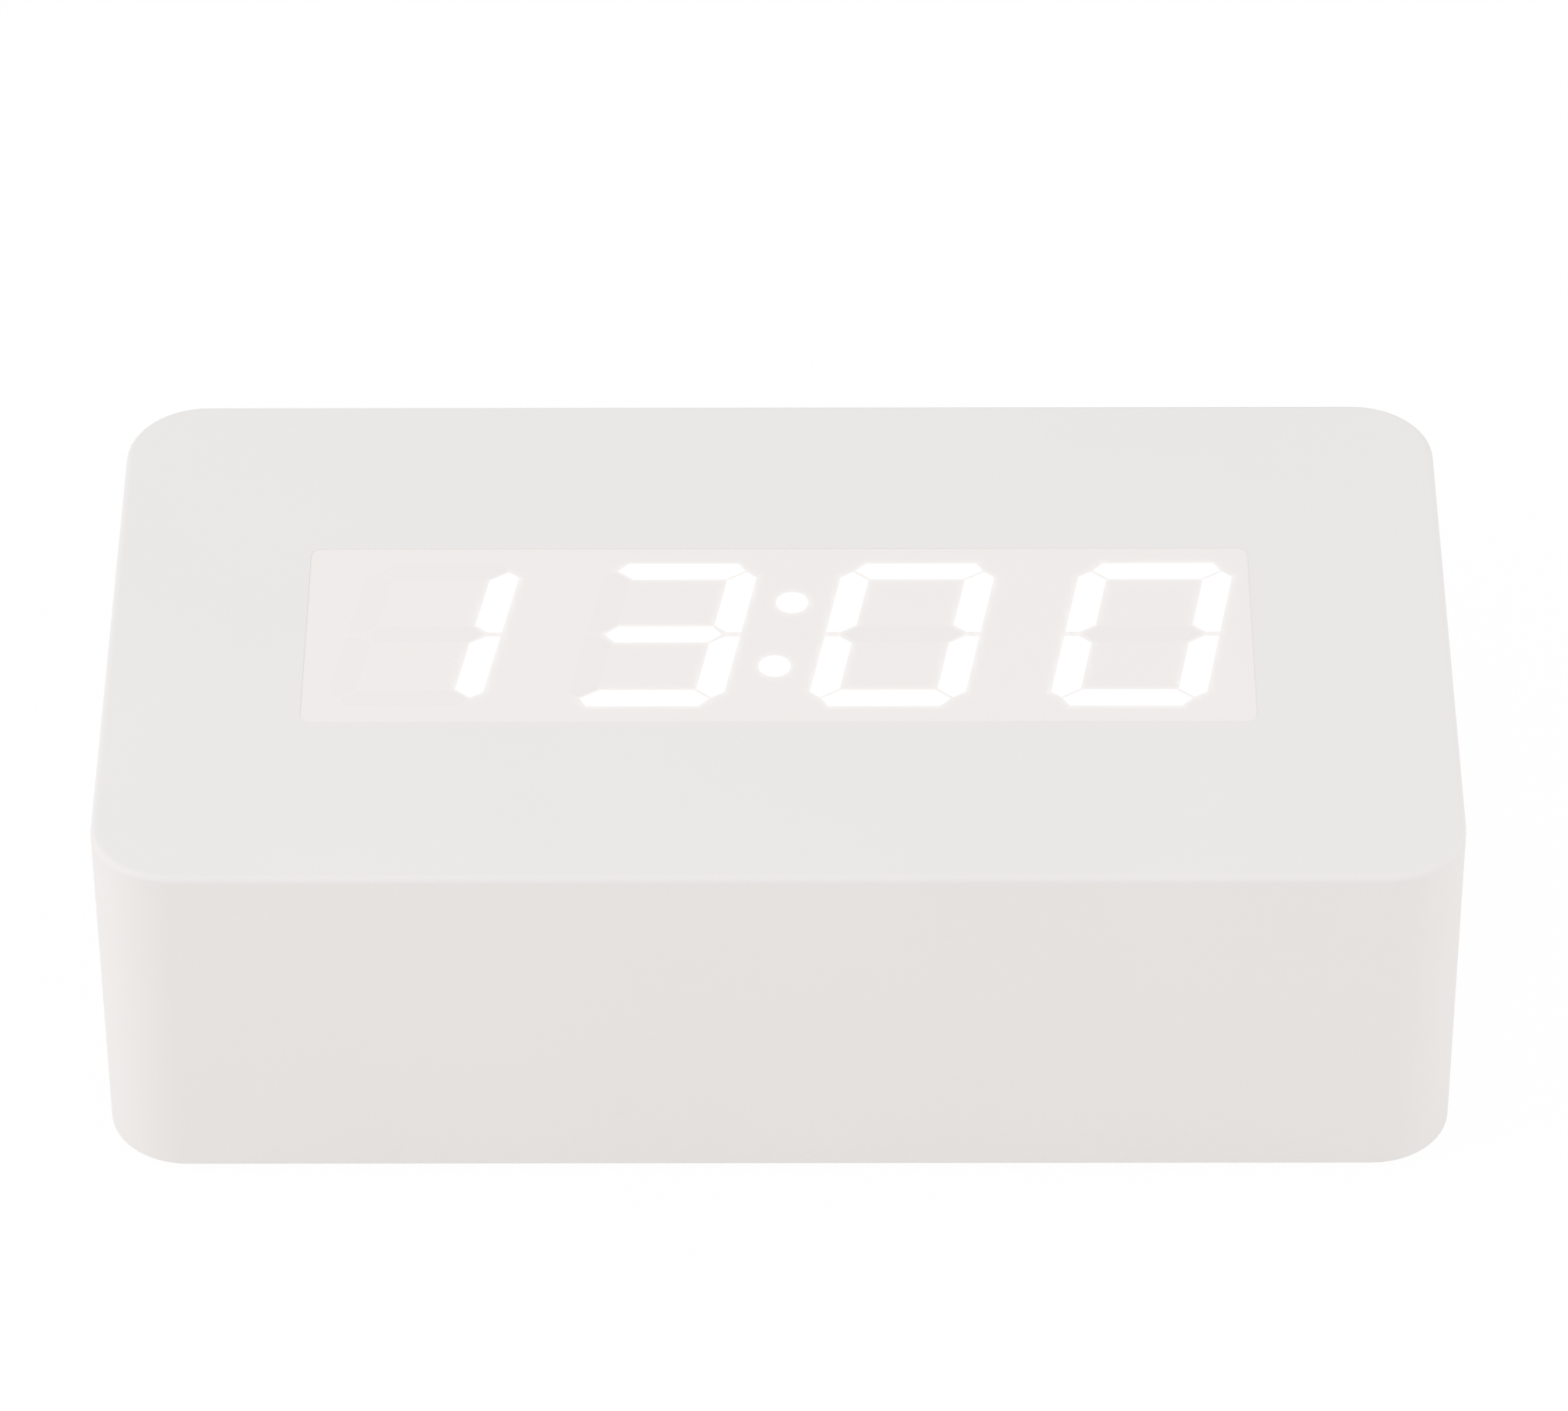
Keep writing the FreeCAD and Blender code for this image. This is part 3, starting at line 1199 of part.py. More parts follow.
def speaker_leads():
    """Two wires from the basket's rim over to the main board."""
    rim_x = SPEAKER_X + SPEAKER_RADIUS - SPEAKER_WIRE_INSET
    board_x = MAIN_X[0] + SPEAKER_WIRE_LANDING
    run_z = MAIN_TOP_Z + WIRE_RISE
    return wire_pair([
        Vector(rim_x, SPEAKER_Y, COVER_TOP_Z + SPEAKER_RIM_HEIGHT),
        Vector(rim_x, SPEAKER_Y, run_z),
        Vector(board_x, SPEAKER_Y, run_z),
        Vector(board_x, SPEAKER_Y, MAIN_TOP_Z),
    ], WIRE_BEND)


# Projector

def projector_bay():
    """Tray let into the rear wall that the head folds into, open to the rear, with the hinge holes."""
    outer = rounded_panel(BAY_X, BAY_Z, BAY_RADIUS, BAY_BACK_Y - BAY_WALL, REAR_Y)
    room_xs = (BAY_X[0] + BAY_WALL, BAY_X[1] - BAY_WALL)
    room_zs = (BAY_Z[0] + BAY_WALL, BAY_Z[1] - BAY_WALL)
    room = rounded_panel(room_xs, room_zs, BAY_RADIUS - BAY_WALL, BAY_BACK_Y, REAR_Y + PAST)
    tray = outer.cut([room, disc_x(HINGE_Y, HINGE_Z, PIN_RADIUS, BAY_X[0] - PAST, BAY_X[1] + PAST)])
    mouth = BoundBox(room_xs[0], REAR_Y, room_zs[0], room_xs[1], REAR_Y, room_zs[1])
    mouth.enlarge(EDGE_TOLERANCE)
    return tray.makeFillet(BAY_MOUTH_ROUND, [edge for edge in tray.Edges if mouth.isInside(edge.BoundBox)])


def hinge_pins():
    """Two short steel pins from the bay's ends into the head, the left one hollow for the lamp's wires."""
    left = disc_x(HINGE_Y, HINGE_Z, PIN_RADIUS, BAY_X[0], HEAD_X[0] + PIN_IN_HEAD)
    bore = disc_x(HINGE_Y, HINGE_Z, PIN_BORE_RADIUS, BAY_X[0] - PAST, HEAD_X[0] + PIN_IN_HEAD + PAST)
    right = disc_x(HINGE_Y, HINGE_Z, PIN_RADIUS, HEAD_X[1] - PIN_IN_HEAD, BAY_X[1])
    return group([left.cut(bore), right])


def head_block(inset):
    """The head's form drawn in by inset on every side: a flat box rounded about the hinge line."""
    x = HEAD_X[0] + inset
    front = HINGE_Y + HEAD_FACE - inset
    back = HINGE_Y - HEAD_BACK + inset
    top = HINGE_Z + HEAD_TOP - inset
    bottom = HINGE_Z - HEAD_DROP + inset
    crown = HEAD_TOP - inset
    heel = HEAD_HEEL - inset
    toe = HEAD_TOE - inset

    def line(start, end):
        return Part.LineSegment(Vector(x, *start), Vector(x, *end)).toShape()

    def corner(y, z, radius, way_y, way_z):
        """A quarter circle about y, z, bulging towards way_y and way_z."""
        reach = radius * math.sqrt(0.5)
        points = [(y + way_y * radius, z), (y + way_y * reach, z + way_z * reach), (y, z + way_z * radius)]
        return Part.Arc(*[Vector(x, *point) for point in points]).toShape()

    outline = Part.Wire(Part.__sortEdges__([
        corner(front - crown, top - crown, crown, 1, 1),
        line((front - crown, top), (back + heel, top)),
        corner(back + heel, top - heel, heel, -1, 1),
        line((back, top - heel), (back, bottom + heel)),
        corner(back + heel, bottom + heel, heel, -1, -1),
        line((back + heel, bottom), (front - toe, bottom)),
        corner(front - toe, bottom + toe, toe, 1, -1),
        line((front, bottom + toe), (front, top - crown)),
    ]))
    return Part.Face(outline).extrude(Vector(HEAD_X[1] - HEAD_X[0] - 2 * inset, 0, 0))


def head_form():
    """The head's outside, with the outline of each end rounded off."""
    block = head_block(0.0)
    ends = [edge for edge in block.Edges if edge.BoundBox.XLength < EDGE_TOLERANCE]
    return block.makeFillet(HEAD_END_ROUND, ends)


def head_hollow():
    """The head's wall all round, with the two hinge bosses inside it."""
    root = HINGE_BOSS_ROOT
    inner = PIN_IN_HEAD + HINGE_BOSS_FLOOR
    hollow = fuse([
        head_form().cut(head_block(HEAD_WALL)),
        disc_x(HINGE_Y, HINGE_Z, HINGE_BOSS_RADIUS, HEAD_X[0] + root, HEAD_X[0] + inner),
        disc_x(HINGE_Y, HINGE_Z, HINGE_BOSS_RADIUS, HEAD_X[1] - inner, HEAD_X[1] - root),
    ])
    reach = PIN_IN_HEAD + PIN_END_GAP
    return hollow.cut([
        disc_x(HINGE_Y, HINGE_Z, PIN_RADIUS + PIN_CLEARANCE, HEAD_X[0] - PAST, HEAD_X[0] + reach),
        disc_x(HINGE_Y, HINGE_Z, PIN_RADIUS + PIN_CLEARANCE, HEAD_X[1] - reach, HEAD_X[1] + PAST),
        disc_x(HINGE_Y, HINGE_Z, PIN_BORE_RADIUS + PIN_CLEARANCE, HEAD_X[0], HEAD_X[0] + inner + PAST),
    ])


def head_half(start_y, end_y):
    """The space on one side of the head's parting plane."""
    return box(HEAD_X[0] - PAST, HEAD_X[1] + PAST, start_y, end_y, 0, TOP_Z)


def projector_front_shell():
    """Front moulding: face, ends and hinge bosses, with the seat of the focus ring and lens."""
    split_y = SHELL_WALL_Y + HEAD_SPLIT
    front = head_hollow().common(head_half(split_y, REAR_Y + PAST))
    seat_y = RING_Y - RING_CLEARANCE
    seat_radius = RING_RADIUS + RING_CLEARANCE
    face_y = HINGE_Y + HEAD_FACE
    collar = disc_y(
        LENS_X, LENS_Z, seat_radius + COLLAR_WALL, seat_y - COLLAR_FLOOR, face_y - COLLAR_SINK
    ).common(head_form())
    return fuse([front, collar]).cut([
        disc_y(LENS_X, LENS_Z, seat_radius, seat_y, face_y + PAST),
        disc_y(LENS_X, LENS_Z, TUBE_RADIUS + RUNNING_GAP, seat_y - COLLAR_FLOOR - PAST, face_y + PAST),
    ])


def projector_back_shell():
    """Back moulding: two rails that hold the optics between them, and the mirror's ramp."""
    split_y = SHELL_WALL_Y + HEAD_SPLIT
    back = head_hollow().common(head_half(BAY_BACK_Y - PAST, split_y))
    root_y = SHELL_WALL_Y - RAIL_ROOT
    rail_y = SHELL_WALL_Y + 2 * OPTICS_HALF_DEPTH + RAIL_LIP
    rail_x = (LAMP_BOARD_X - RAIL_PAST_LAMP, LENS_X + RAIL_PAST_LENS)
    floor = LENS_Z - RAIL_HALF_GAP
    roof = LENS_Z + RAIL_HALF_GAP
    ramp = prism(mirror_ramp_outline(root_y), floor, roof)
    return fuse([
        back,
        box(*rail_x, root_y, rail_y, floor - RAIL_THICKNESS, floor),
        box(*rail_x, root_y, rail_y, roof, roof + RAIL_THICKNESS),
        ramp,
    ])


def mirror_points():
    """The four x, y corners of the mirror's edge: front face first, then back face."""
    along = Vector(1, 1, 0).normalize() * MIRROR_HALF_LENGTH
    behind = Vector(1, -1, 0).normalize() * MIRROR_THICKNESS
    middle = Vector(LENS_X, BEAM_Y, 0)
    corners = [middle - along, middle + along, middle + along + behind, middle - along + behind]
    return [(corner.x, corner.y) for corner in corners]


def mirror_ramp_outline(root_y):
    """The wedge that backs the mirror, from its back face down to the shell's wall."""
    near_end, far_end = mirror_points()[3], mirror_points()[2]
    return [
        (near_end[0], root_y),
        near_end,
        far_end,
        (far_end[0] + RAMP_THICKNESS, far_end[1]),
        (far_end[0] + RAMP_THICKNESS, root_y),
    ]


def fold_mirror():
    """Mirror at 45 degrees that turns the beam from along the head out through the lens."""
    return prism(mirror_points(), LENS_Z - RAIL_HALF_GAP, LENS_Z + RAIL_HALF_GAP)


def between_rails(x0, x1):
    """A plate across the beam that fills the gap between the two rails."""
    return box(
        x0, x1, BEAM_Y - OPTICS_HALF_DEPTH, BEAM_Y + OPTICS_HALF_DEPTH,
        LENS_Z - RAIL_HALF_GAP, LENS_Z + RAIL_HALF_GAP,
    )


def image_panel():
    """Small negative display with the figures that are thrown on the ceiling."""
    return between_rails(IMAGE_X, IMAGE_X + IMAGE_THICKNESS)


def condenser_lens():
    """Lens that bulges towards the lamp and evens out its light, with a square flange."""
    back_x = IMAGE_X - CONDENSER_GAP
    seat_x = back_x - CONDENSER_FLANGE
    flange = between_rails(seat_x, back_x)
    centre_x = seat_x - CONDENSER_BULGE + CONDENSER_RADIUS
    ball = Part.makeSphere(CONDENSER_RADIUS, Vector(centre_x, BEAM_Y, LENS_Z))
    half_y = OPTICS_HALF_DEPTH - CONDENSER_INSET
    bounds = box(
        centre_x - CONDENSER_RADIUS - PAST, seat_x + CONDENSER_FLANGE / 2, BEAM_Y - half_y, BEAM_Y + half_y,
        LENS_Z - CONDENSER_HALF_HEIGHT, LENS_Z + CONDENSER_HALF_HEIGHT,
    )
    return fuse([flange, ball.common(bounds)])


def projector_lamp():
    """Round-nosed light with its flange, aimed along the head."""
    flange_x = LAMP_BOARD_X + LAMP_FLANGE_THICKNESS
    return fuse([
        disc_x(BEAM_Y, LENS_Z, LAMP_RADIUS, LAMP_BOARD_X, LAMP_X),
        Part.makeSphere(LAMP_RADIUS, Vector(LAMP_X, BEAM_Y, LENS_Z)),
        disc_x(BEAM_Y, LENS_Z, LAMP_RADIUS + LAMP_FLANGE, LAMP_BOARD_X, flange_x),
    ])


def lamp_board():
    """Small board that the lamp stands on, held between the rails."""
    plate = between_rails(LAMP_BOARD_X - LAMP_BOARD_THICKNESS, LAMP_BOARD_X)
    tab = box(
        LAMP_BOARD_X - LAMP_BOARD_THICKNESS, LAMP_BOARD_X, BEAM_Y, HINGE_Y + LAMP_TAB_REACH,
        LENS_Z - RAIL_HALF_GAP, LENS_Z + RAIL_HALF_GAP,
    )
    return fuse([plate, tab])


def lamp_leads():
    """Two wires inside the head, from the lamp's board up to the hollow hinge pin."""
    board_x = LAMP_BOARD_X - LAMP_BOARD_THICKNESS
    rise_x = board_x - HEAD_WIRE_RUN
    low_z = LENS_Z + HEAD_WIRE_RISE
    return wire_pair([
        Vector(board_x, HINGE_Y, low_z),
        Vector(rise_x, HINGE_Y, low_z),
        Vector(rise_x, HINGE_Y, HINGE_Z),
        Vector(HEAD_X[0] + PIN_IN_HEAD, HINGE_Y, HINGE_Z),
    ], HEAD_WIRE_BEND)


def projector_leads():
    """The same two wires from the hollow pin, round the bay and along to the main board."""
    side_x = BAY_X[0] - BAY_WIRE_SIDE
    run_y = BAY_BACK_Y - BAY_WALL - BAY_WIRE_BACK
    run_z = MAIN_TOP_Z + WIRE_RISE
    board_x = MAIN_X[0] + PROJECTOR_WIRE_LANDING
    return wire_pair([
        Vector(HEAD_X[0] + PIN_IN_HEAD, HINGE_Y, HINGE_Z),
        Vector(side_x, HINGE_Y, HINGE_Z),
        Vector(side_x, run_y, HINGE_Z),
        Vector(side_x, run_y, run_z),
        Vector(board_x, run_y, run_z),
        Vector(board_x, run_y, MAIN_TOP_Z),
    ], WIRE_BEND)


def focus_ring():
    """Grooved ring round the lens, all but flush with the head's face."""
    ring = ring_y(LENS_X, LENS_Z, RING_RADIUS, TUBE_RADIUS + RUNNING_GAP, RING_Y, RING_Y + RING_HEIGHT)
    grips = []
    for step in range(RING_GRIPS):
        angle = 2 * math.pi * step / RING_GRIPS
        x = LENS_X + RING_RADIUS * math.cos(angle)
        z = LENS_Z + RING_RADIUS * math.sin(angle)
        grips.append(disc_y(x, z, RING_GRIP_RADIUS, RING_Y + GRIP_ROOT, RING_Y + RING_HEIGHT + PAST))
    return ring.cut(grips)


def lens_tube():
    """Tube that carries the lens against an inner lip and runs in and out inside the ring."""
    back_y = TUBE_FACE_Y - TUBE_LENGTH
    return fuse([
        ring_y(LENS_X, LENS_Z, TUBE_RADIUS, LENS_RADIUS, back_y, TUBE_FACE_Y),
        ring_y(LENS_X, LENS_Z, TUBE_RADIUS, LENS_RADIUS - TUBE_LIP, back_y, back_y + TUBE_LIP),
    ])


def projection_lens():
    """Lens with a flat back and a bulging front."""
    back_y = TUBE_FACE_Y - TUBE_LENGTH + TUBE_LIP
    rim_y = back_y + LENS_RIM
    tip_y = rim_y + LENS_BULGE
    radius = (LENS_RADIUS ** 2 + LENS_BULGE ** 2) / (2 * LENS_BULGE)
    half_angle = math.asin(LENS_RADIUS / radius) / 2
    middle = Vector(
        LENS_X + radius * math.sin(half_angle), tip_y - radius * (1 - math.cos(half_angle)), LENS_Z
    )
    axis_back = Vector(LENS_X, back_y, LENS_Z)
    edge_back = Vector(LENS_X + LENS_RADIUS, back_y, LENS_Z)
    edge_front = Vector(LENS_X + LENS_RADIUS, rim_y, LENS_Z)
    tip = Vector(LENS_X, tip_y, LENS_Z)
    outline = Part.Wire([
        Part.LineSegment(axis_back, edge_back).toShape(),
        Part.LineSegment(edge_back, edge_front).toShape(),
        Part.Arc(edge_front, middle, tip).toShape(),
        Part.LineSegment(tip, axis_back).toShape(),
    ])
    return Part.Face(outline).revolve(axis_back, Vector(0, 1, 0), 360)


def build():
    """Every piece by its node's name."""
    lit, dark = segment_solids(FLANGE_Z, TOP_Z - WINDOW_SINK)
    nodes = {
        "top_shell": top_shell(),
        "bottom_cover": bottom_cover(),
        "rubber_feet": rubber_feet(),
        "case_screws": case_screws(),
        "display_window": display_window(),
        "lit_segments": group(lit),
        "dark_segments": group(dark),
        "reflector_block": reflector_block(),
        "segment_leds": segment_leds(),
        "display_board": display_board(),
        "driver_chip": driver_chip(),
        "touch_pad": touch_pad(),
        "main_board": main_board(),
        "board_screws": board_screws(),
        "clock_chip": clock_chip(),
        "crystal_can": crystal_can(),
        "supply_capacitors": supply_capacitors(),
        "ribbon_sockets": ribbon_sockets(),
        "ribbon_cable": ribbon_cable(),
        "key_board": key_board(),
        "tact_switches": tact_switches(),
        "board_header": board_header(),
        "alarm_switch_body": alarm_switch_body(),
        "alarm_slider": alarm_slider(),
        "usb_shell": usb_shell(),
        "usb_tongue": usb_tongue(),
        "jack_body": jack_body(),
        "jack_pin": jack_pin(),
        "battery_door": battery_door(),
        "coin_cell": coin_cell(),
        "cell_holder": cell_holder(),
        "cell_contact": cell_contact(),
        "speaker_frame": speaker_frame(),
        "speaker_cone": speaker_cone(),
        "speaker_magnet": speaker_magnet(),
        "speaker_leads": speaker_leads(),
        "projector_bay": projector_bay(),
        "hinge_pins": hinge_pins(),
        "projector_front_shell": projector_front_shell(),
        "projector_back_shell": projector_back_shell(),
        "focus_ring": focus_ring(),
        "lens_tube": lens_tube(),
        "projection_lens": projection_lens(),
        "fold_mirror": fold_mirror(),
        "image_panel": image_panel(),
        "condenser_lens": condenser_lens(),
        "projector_lamp": projector_lamp(),
        "lamp_board": lamp_board(),
        "lamp_leads": lamp_leads(),
        "projector_leads": projector_leads(),
    }
    for name, x in zip(KEY_NAMES, KEY_XS):
        nodes[name + "_key"] = key_cap(x)
        nodes[name + "_plunger"] = key_plunger(x)
    return nodes


def main():
    """Writes one file for each node."""
    os.makedirs(OUT_FOLDER, exist_ok=True)
    for name, shape in build().items():
        shape.exportStep(os.path.join(OUT_FOLDER, name + ".step"))
        print(name, "solids", len(shape.Solids), "valid", shape.isValid(), "volume", round(shape.Volume, 1))


main()
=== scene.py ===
# A white block alarm clock that lies flat, with a lit display in its top face and a fold-out
# projector in its rear wall. Metres. +X is the viewer's right, +Y the rear, +Z up, and the block
# stands on z = 0.

import json
import math
from contextlib import contextmanager

import bmesh
import bpy
from mathutils import Matrix, Vector
from mathutils.bvhtree import BVHTree

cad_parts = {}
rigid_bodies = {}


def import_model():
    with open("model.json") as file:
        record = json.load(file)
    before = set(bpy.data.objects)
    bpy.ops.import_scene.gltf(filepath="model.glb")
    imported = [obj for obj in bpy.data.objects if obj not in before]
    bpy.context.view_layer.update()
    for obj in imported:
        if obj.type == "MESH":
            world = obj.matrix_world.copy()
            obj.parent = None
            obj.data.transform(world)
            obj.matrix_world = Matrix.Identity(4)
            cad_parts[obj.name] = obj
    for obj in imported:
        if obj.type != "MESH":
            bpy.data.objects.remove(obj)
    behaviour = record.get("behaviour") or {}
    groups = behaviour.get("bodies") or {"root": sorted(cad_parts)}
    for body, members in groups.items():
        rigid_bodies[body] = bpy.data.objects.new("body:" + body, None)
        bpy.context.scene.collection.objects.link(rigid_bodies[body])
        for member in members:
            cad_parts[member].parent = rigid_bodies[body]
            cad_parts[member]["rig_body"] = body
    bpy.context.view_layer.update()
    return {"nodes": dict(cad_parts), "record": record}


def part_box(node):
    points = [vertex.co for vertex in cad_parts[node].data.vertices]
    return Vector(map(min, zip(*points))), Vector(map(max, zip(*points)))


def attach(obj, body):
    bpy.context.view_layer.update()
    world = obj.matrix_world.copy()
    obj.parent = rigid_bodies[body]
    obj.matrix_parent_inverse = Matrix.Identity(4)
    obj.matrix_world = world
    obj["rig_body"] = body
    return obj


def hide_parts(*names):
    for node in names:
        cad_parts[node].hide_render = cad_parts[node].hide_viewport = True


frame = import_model()
slots = {part["node"]: part["material_slot"] for part in frame["record"]["subparts"]}

MM = 0.001
WHITE = (1.0, 1.0, 1.0, 1.0)
BLACK = (0.0, 0.0, 0.0, 1.0)

# Camera, as the block is seen from in front and above
CAMERA_LENS_MM = 191.6
CAMERA_DISTANCE = 948.9 * MM
CAMERA_ELEVATION = math.radians(40.71)
CAMERA_TURN = math.radians(0.305)
CAMERA_ROLL = math.radians(0.27)
CAMERA_AIM = (0.0, 0.0, 20.8 * MM)
CAMERA_SHIFT_RIGHT = 0.53 * MM
CAMERA_SHIFT_UP = 9.415 * MM
SENSOR_WIDTH_MM = 36.0
CLIP_START = 0.05
CLIP_END = 20.0

# Studio
FLOOR_SIZE = 4.0
FLOOR_WHITE = (0.84, 0.82, 0.805)
FLOOR_GLOW_SHARE = 0.95
SKY_STRENGTH = 0.86
LAMP_DISTANCE = 0.9
LAMP_WIDTH = 0.5
LAMPS = {
    # name: direction from the block towards the lamp, and the share of full light that it adds
    "left_lamp": ((-0.87, -0.27, 0.44), 0.20),
    "right_lamp": ((0.87, -0.27, 0.44), 0.135),
}
UNDERSIDE_LAMP_SHARE = 0.35

# Patterns in the finishes: lumps to a metre, the part of a noise that counts, and what it does
CLOUD_SCALE = 40.0
SMUDGE_SCALE = 220.0
SMEAR_SCALE = 300.0
GUIDE_CLOUD_SCALE = 500.0
BOARD_CLOUD_SCALE = 150.0
NOISE_LOW = 0.3
NOISE_HIGH = 0.7
LINE_STRETCH = (0.06, 1.0, 1.0)
SMUDGE_TONE = 0.9
METAL_RELIEF = 0.001 * MM
GLASS_SMEAR = 0.03
BOARD_SHEEN = (0.28, 0.4)
TRACK_SCALE = 260.0
TRACK_GAP = 0.012
TRACK_HEIGHT = 0.02 * MM
TRACK_SHADE = (0.8, 0.85, 0.8)
TRACK_GLEAM = (1.5, 1.6, 1.4)

# Light and clear pieces
GUIDE_LIGHT = (1.0, 0.985, 0.97, 1.0)
GUIDE_GLOW = 0.6
GUIDE_ROUGHNESS = 0.35
HALO_LIGHT = (1.0, 0.985, 0.975, 1.0)
CLEAR_IOR = 1.49
COATING_NM = 200.0
COATING_IOR = 1.7

# Shading of curved faces
MERGE_DISTANCE = 0.002 * MM
CREASE = math.radians(32)

# Gap between the lamp's wires in the head and those in the case, inside the hollow hinge pin
LEAD_GAP = 0.2 * MM

# The display's face: how deep its land is, and how far that is widened into the gap about it
LAND_DEPTH = 2.3 * MM
LAND_BAND = 1.3 * MM
LAND_REACH = 0.045 * MM
WALL_LEAN = 0.1

# Halo of the lit segments on the opal face
SLICE_STEP = 0.8 * MM
HALO_REACH = 0.3 * MM
HALO_STRENGTH = 0.09

# Case screws: a pan head below the seat, a shank with its thread above
SCREW_HEAD_RADIUS = 2.7 * MM
SCREW_HEAD_HEIGHT = 1.9 * MM
SCREW_DOME = 0.75 * MM
SCREW_DOME_STEPS = 8
SCREW_CORE_RADIUS = 0.9 * MM
SCREW_THREAD_DEPTH = 0.24 * MM
SCREW_PITCH = 0.9 * MM
SCREW_TIP = 1.2 * MM
THREAD_STEPS = 24
RECESS_REACH = 1.55 * MM
RECESS_NARROWING = 0.55
RECESS_BREADTH = 0.3
RECESS_DEPTH = 1.1 * MM

# Rubber feet
FOOT_RADIUS = 5.0 * MM
FOOT_BREAK = 0.35 * MM
FOOT_CLEARANCE = 0.02 * MM
FOOT_LAND = 0.7 * MM
FOOT_RINGS = 4
FOOT_RING_STEPS = 8
FOOT_RING_DEPTH = 0.22 * MM

# Turning about an axis: how far the line starts from it
AXIS_GAP = 0.01 * MM
TURN_SIDES = 56

# Contacts of the charging socket, on the underside of its tongue
CONTACT_XS = (-3.5 * MM, -1.0 * MM, 1.0 * MM, 3.5 * MM)
CONTACT_WIDTH = 0.86 * MM
CONTACT_THICKNESS = 0.14 * MM
CONTACT_BACK = 6.8 * MM
CONTACT_FRONT = 0.9 * MM
CONTACT_ROOF = 0.25 * MM
CONTACT_BOW = 0.36 * MM
CONTACT_STEPS = 16

# Print and raised marks. Drawings are in millimetres, as they are seen from outside
PRINT_THICKNESS = 0.05 * MM
RAISED_THICKNESS = 0.5 * MM
PRINT_SLICE = 0.45 * MM
PRINT_REACH = 2.0 * MM
KEY_DISH_RADIUS = 14.0 * MM
KEY_DISH_DEPTH = 0.25 * MM
KEY_CENTRE_UP = 28.0 * MM
WORD_SIZE = 1.9 * MM
WORD_DROP = 3.3 * MM
WORD_SPREAD = 2.7 * MM
REAR_PANEL_Y = 39.0 * MM
FOCUS_START = 45.0
FOCUS_SWEEP = 90.0
FOCUS_TICKS = 7
TICK_RADIUS = 8.65 * MM
TICK_LENGTH = 0.8 * MM
TICK_WIDTH = 0.22 * MM
TICK_ROUND_SHARE = 0.45
TICK_ROUND_STEPS = 4
POINTER_HALF_WIDTH = 0.55
RING_POINTER = (7.0, 1.5)
DOOR_POINTER = (11.2, 2.4)
DOOR_LOCKED = 90.0
DOOR_FREE = 135.0
DOOR_MARK_RADIUS = 14.9
LOCKED_DOT_RADIUS = 0.85
OPEN_RING_RADII = (1.0, 0.55)


# Node trees

def put(tree, kind, settings=None, **inputs):
    """Adds a node. Settings are its attributes; an input is a value or another node's socket."""
    made = tree.nodes.new(kind)
    for name, value in (settings or {}).items():
        setattr(made, name, value)
    for name, value in inputs.items():
        join(tree, value, made.inputs[name.replace("_", " ")])
    return made


def join(tree, value, socket):
    """Links a socket, or writes a plain value into it."""
    if isinstance(value, bpy.types.NodeSocket):
        tree.links.new(value, socket)
    else:
        socket.default_value = value


def math_node(tree, operation, first, second):
    """One arithmetic step."""
    made = tree.nodes.new("ShaderNodeMath")
    made.operation = operation
    join(tree, first, made.inputs[0])
    join(tree, second, made.inputs[1])
    return made.outputs[0]


def blend_colours(tree, share, first, second):
    """The first colour at share 0 and the second at share 1."""
    made = tree.nodes.new("ShaderNodeMix")
    made.data_type = "RGBA"
    join(tree, share, made.inputs["Factor"])
    join(tree, first, made.inputs[6])
    join(tree, second, made.inputs[7])
    return made.outputs[2]


def blend_shaders(tree, share, first, second):
    """The first shader at share 0 and the second at share 1."""
    made = put(tree, "ShaderNodeMixShader", Fac=share)
    join(tree, first, made.inputs[1])
    join(tree, second, made.inputs[2])
    return made.outputs[0]


def ranged(tree, value, low, high, to_low, to_high):
    """A value moved from one range to another and held inside it."""
    made = put(tree, "ShaderNodeMapRange", Value=value, From_Min=low, From_Max=high)
    join(tree, to_low, made.inputs["To Min"])
    join(tree, to_high, made.inputs["To Max"])
    return made.outputs[0]


def noise(tree, place, scale, detail=2.0, roughness=0.5):
    """Noise about one lump for each 1 / scale metres."""
    made = put(tree, "ShaderNodeTexNoise", Vector=place, Scale=scale, Detail=detail)
    made.inputs["Roughness"].default_value = roughness
    return made.outputs["Fac"]


def tinted(tree, colour, level):
    """A colour made brighter or darker by a level."""
    made = put(tree, "ShaderNodeVectorMath", {"operation": "SCALE"}, Scale=level)
    join(tree, colour, made.inputs[0])
    return made.outputs[0]


def swung(tree, first, second, amount, middle):
    """A value that swings about its middle with the sum of two noises."""
    both = math_node(tree, "ADD", first, second)
    swing = math_node(tree, "SUBTRACT", both, 1.0)
    change = math_node(tree, "MULTIPLY", swing, amount)
    return math_node(tree, "ADD", change, middle)


FLOAT = "NodeSocketFloat"
COLOUR = "NodeSocketColor"


def new_skin(name, **inputs):
    """An empty shader group for a surface's colour, sheen and height, with its two ends."""
    group = bpy.data.node_groups.new(name, "ShaderNodeTree")
    for label, value in inputs.items():
        kind = COLOUR if label == "Colour" else FLOAT
        socket = group.interface.new_socket(label.replace("_", " "), in_out="INPUT", socket_type=kind)
        socket.default_value = value
    for label, kind in (("Colour", COLOUR), ("Roughness", FLOAT), ("Height", FLOAT)):
        group.interface.new_socket(label, in_out="OUTPUT", socket_type=kind)
    return group, group.nodes.new("NodeGroupInput").outputs, group.nodes.new("NodeGroupOutput").inputs


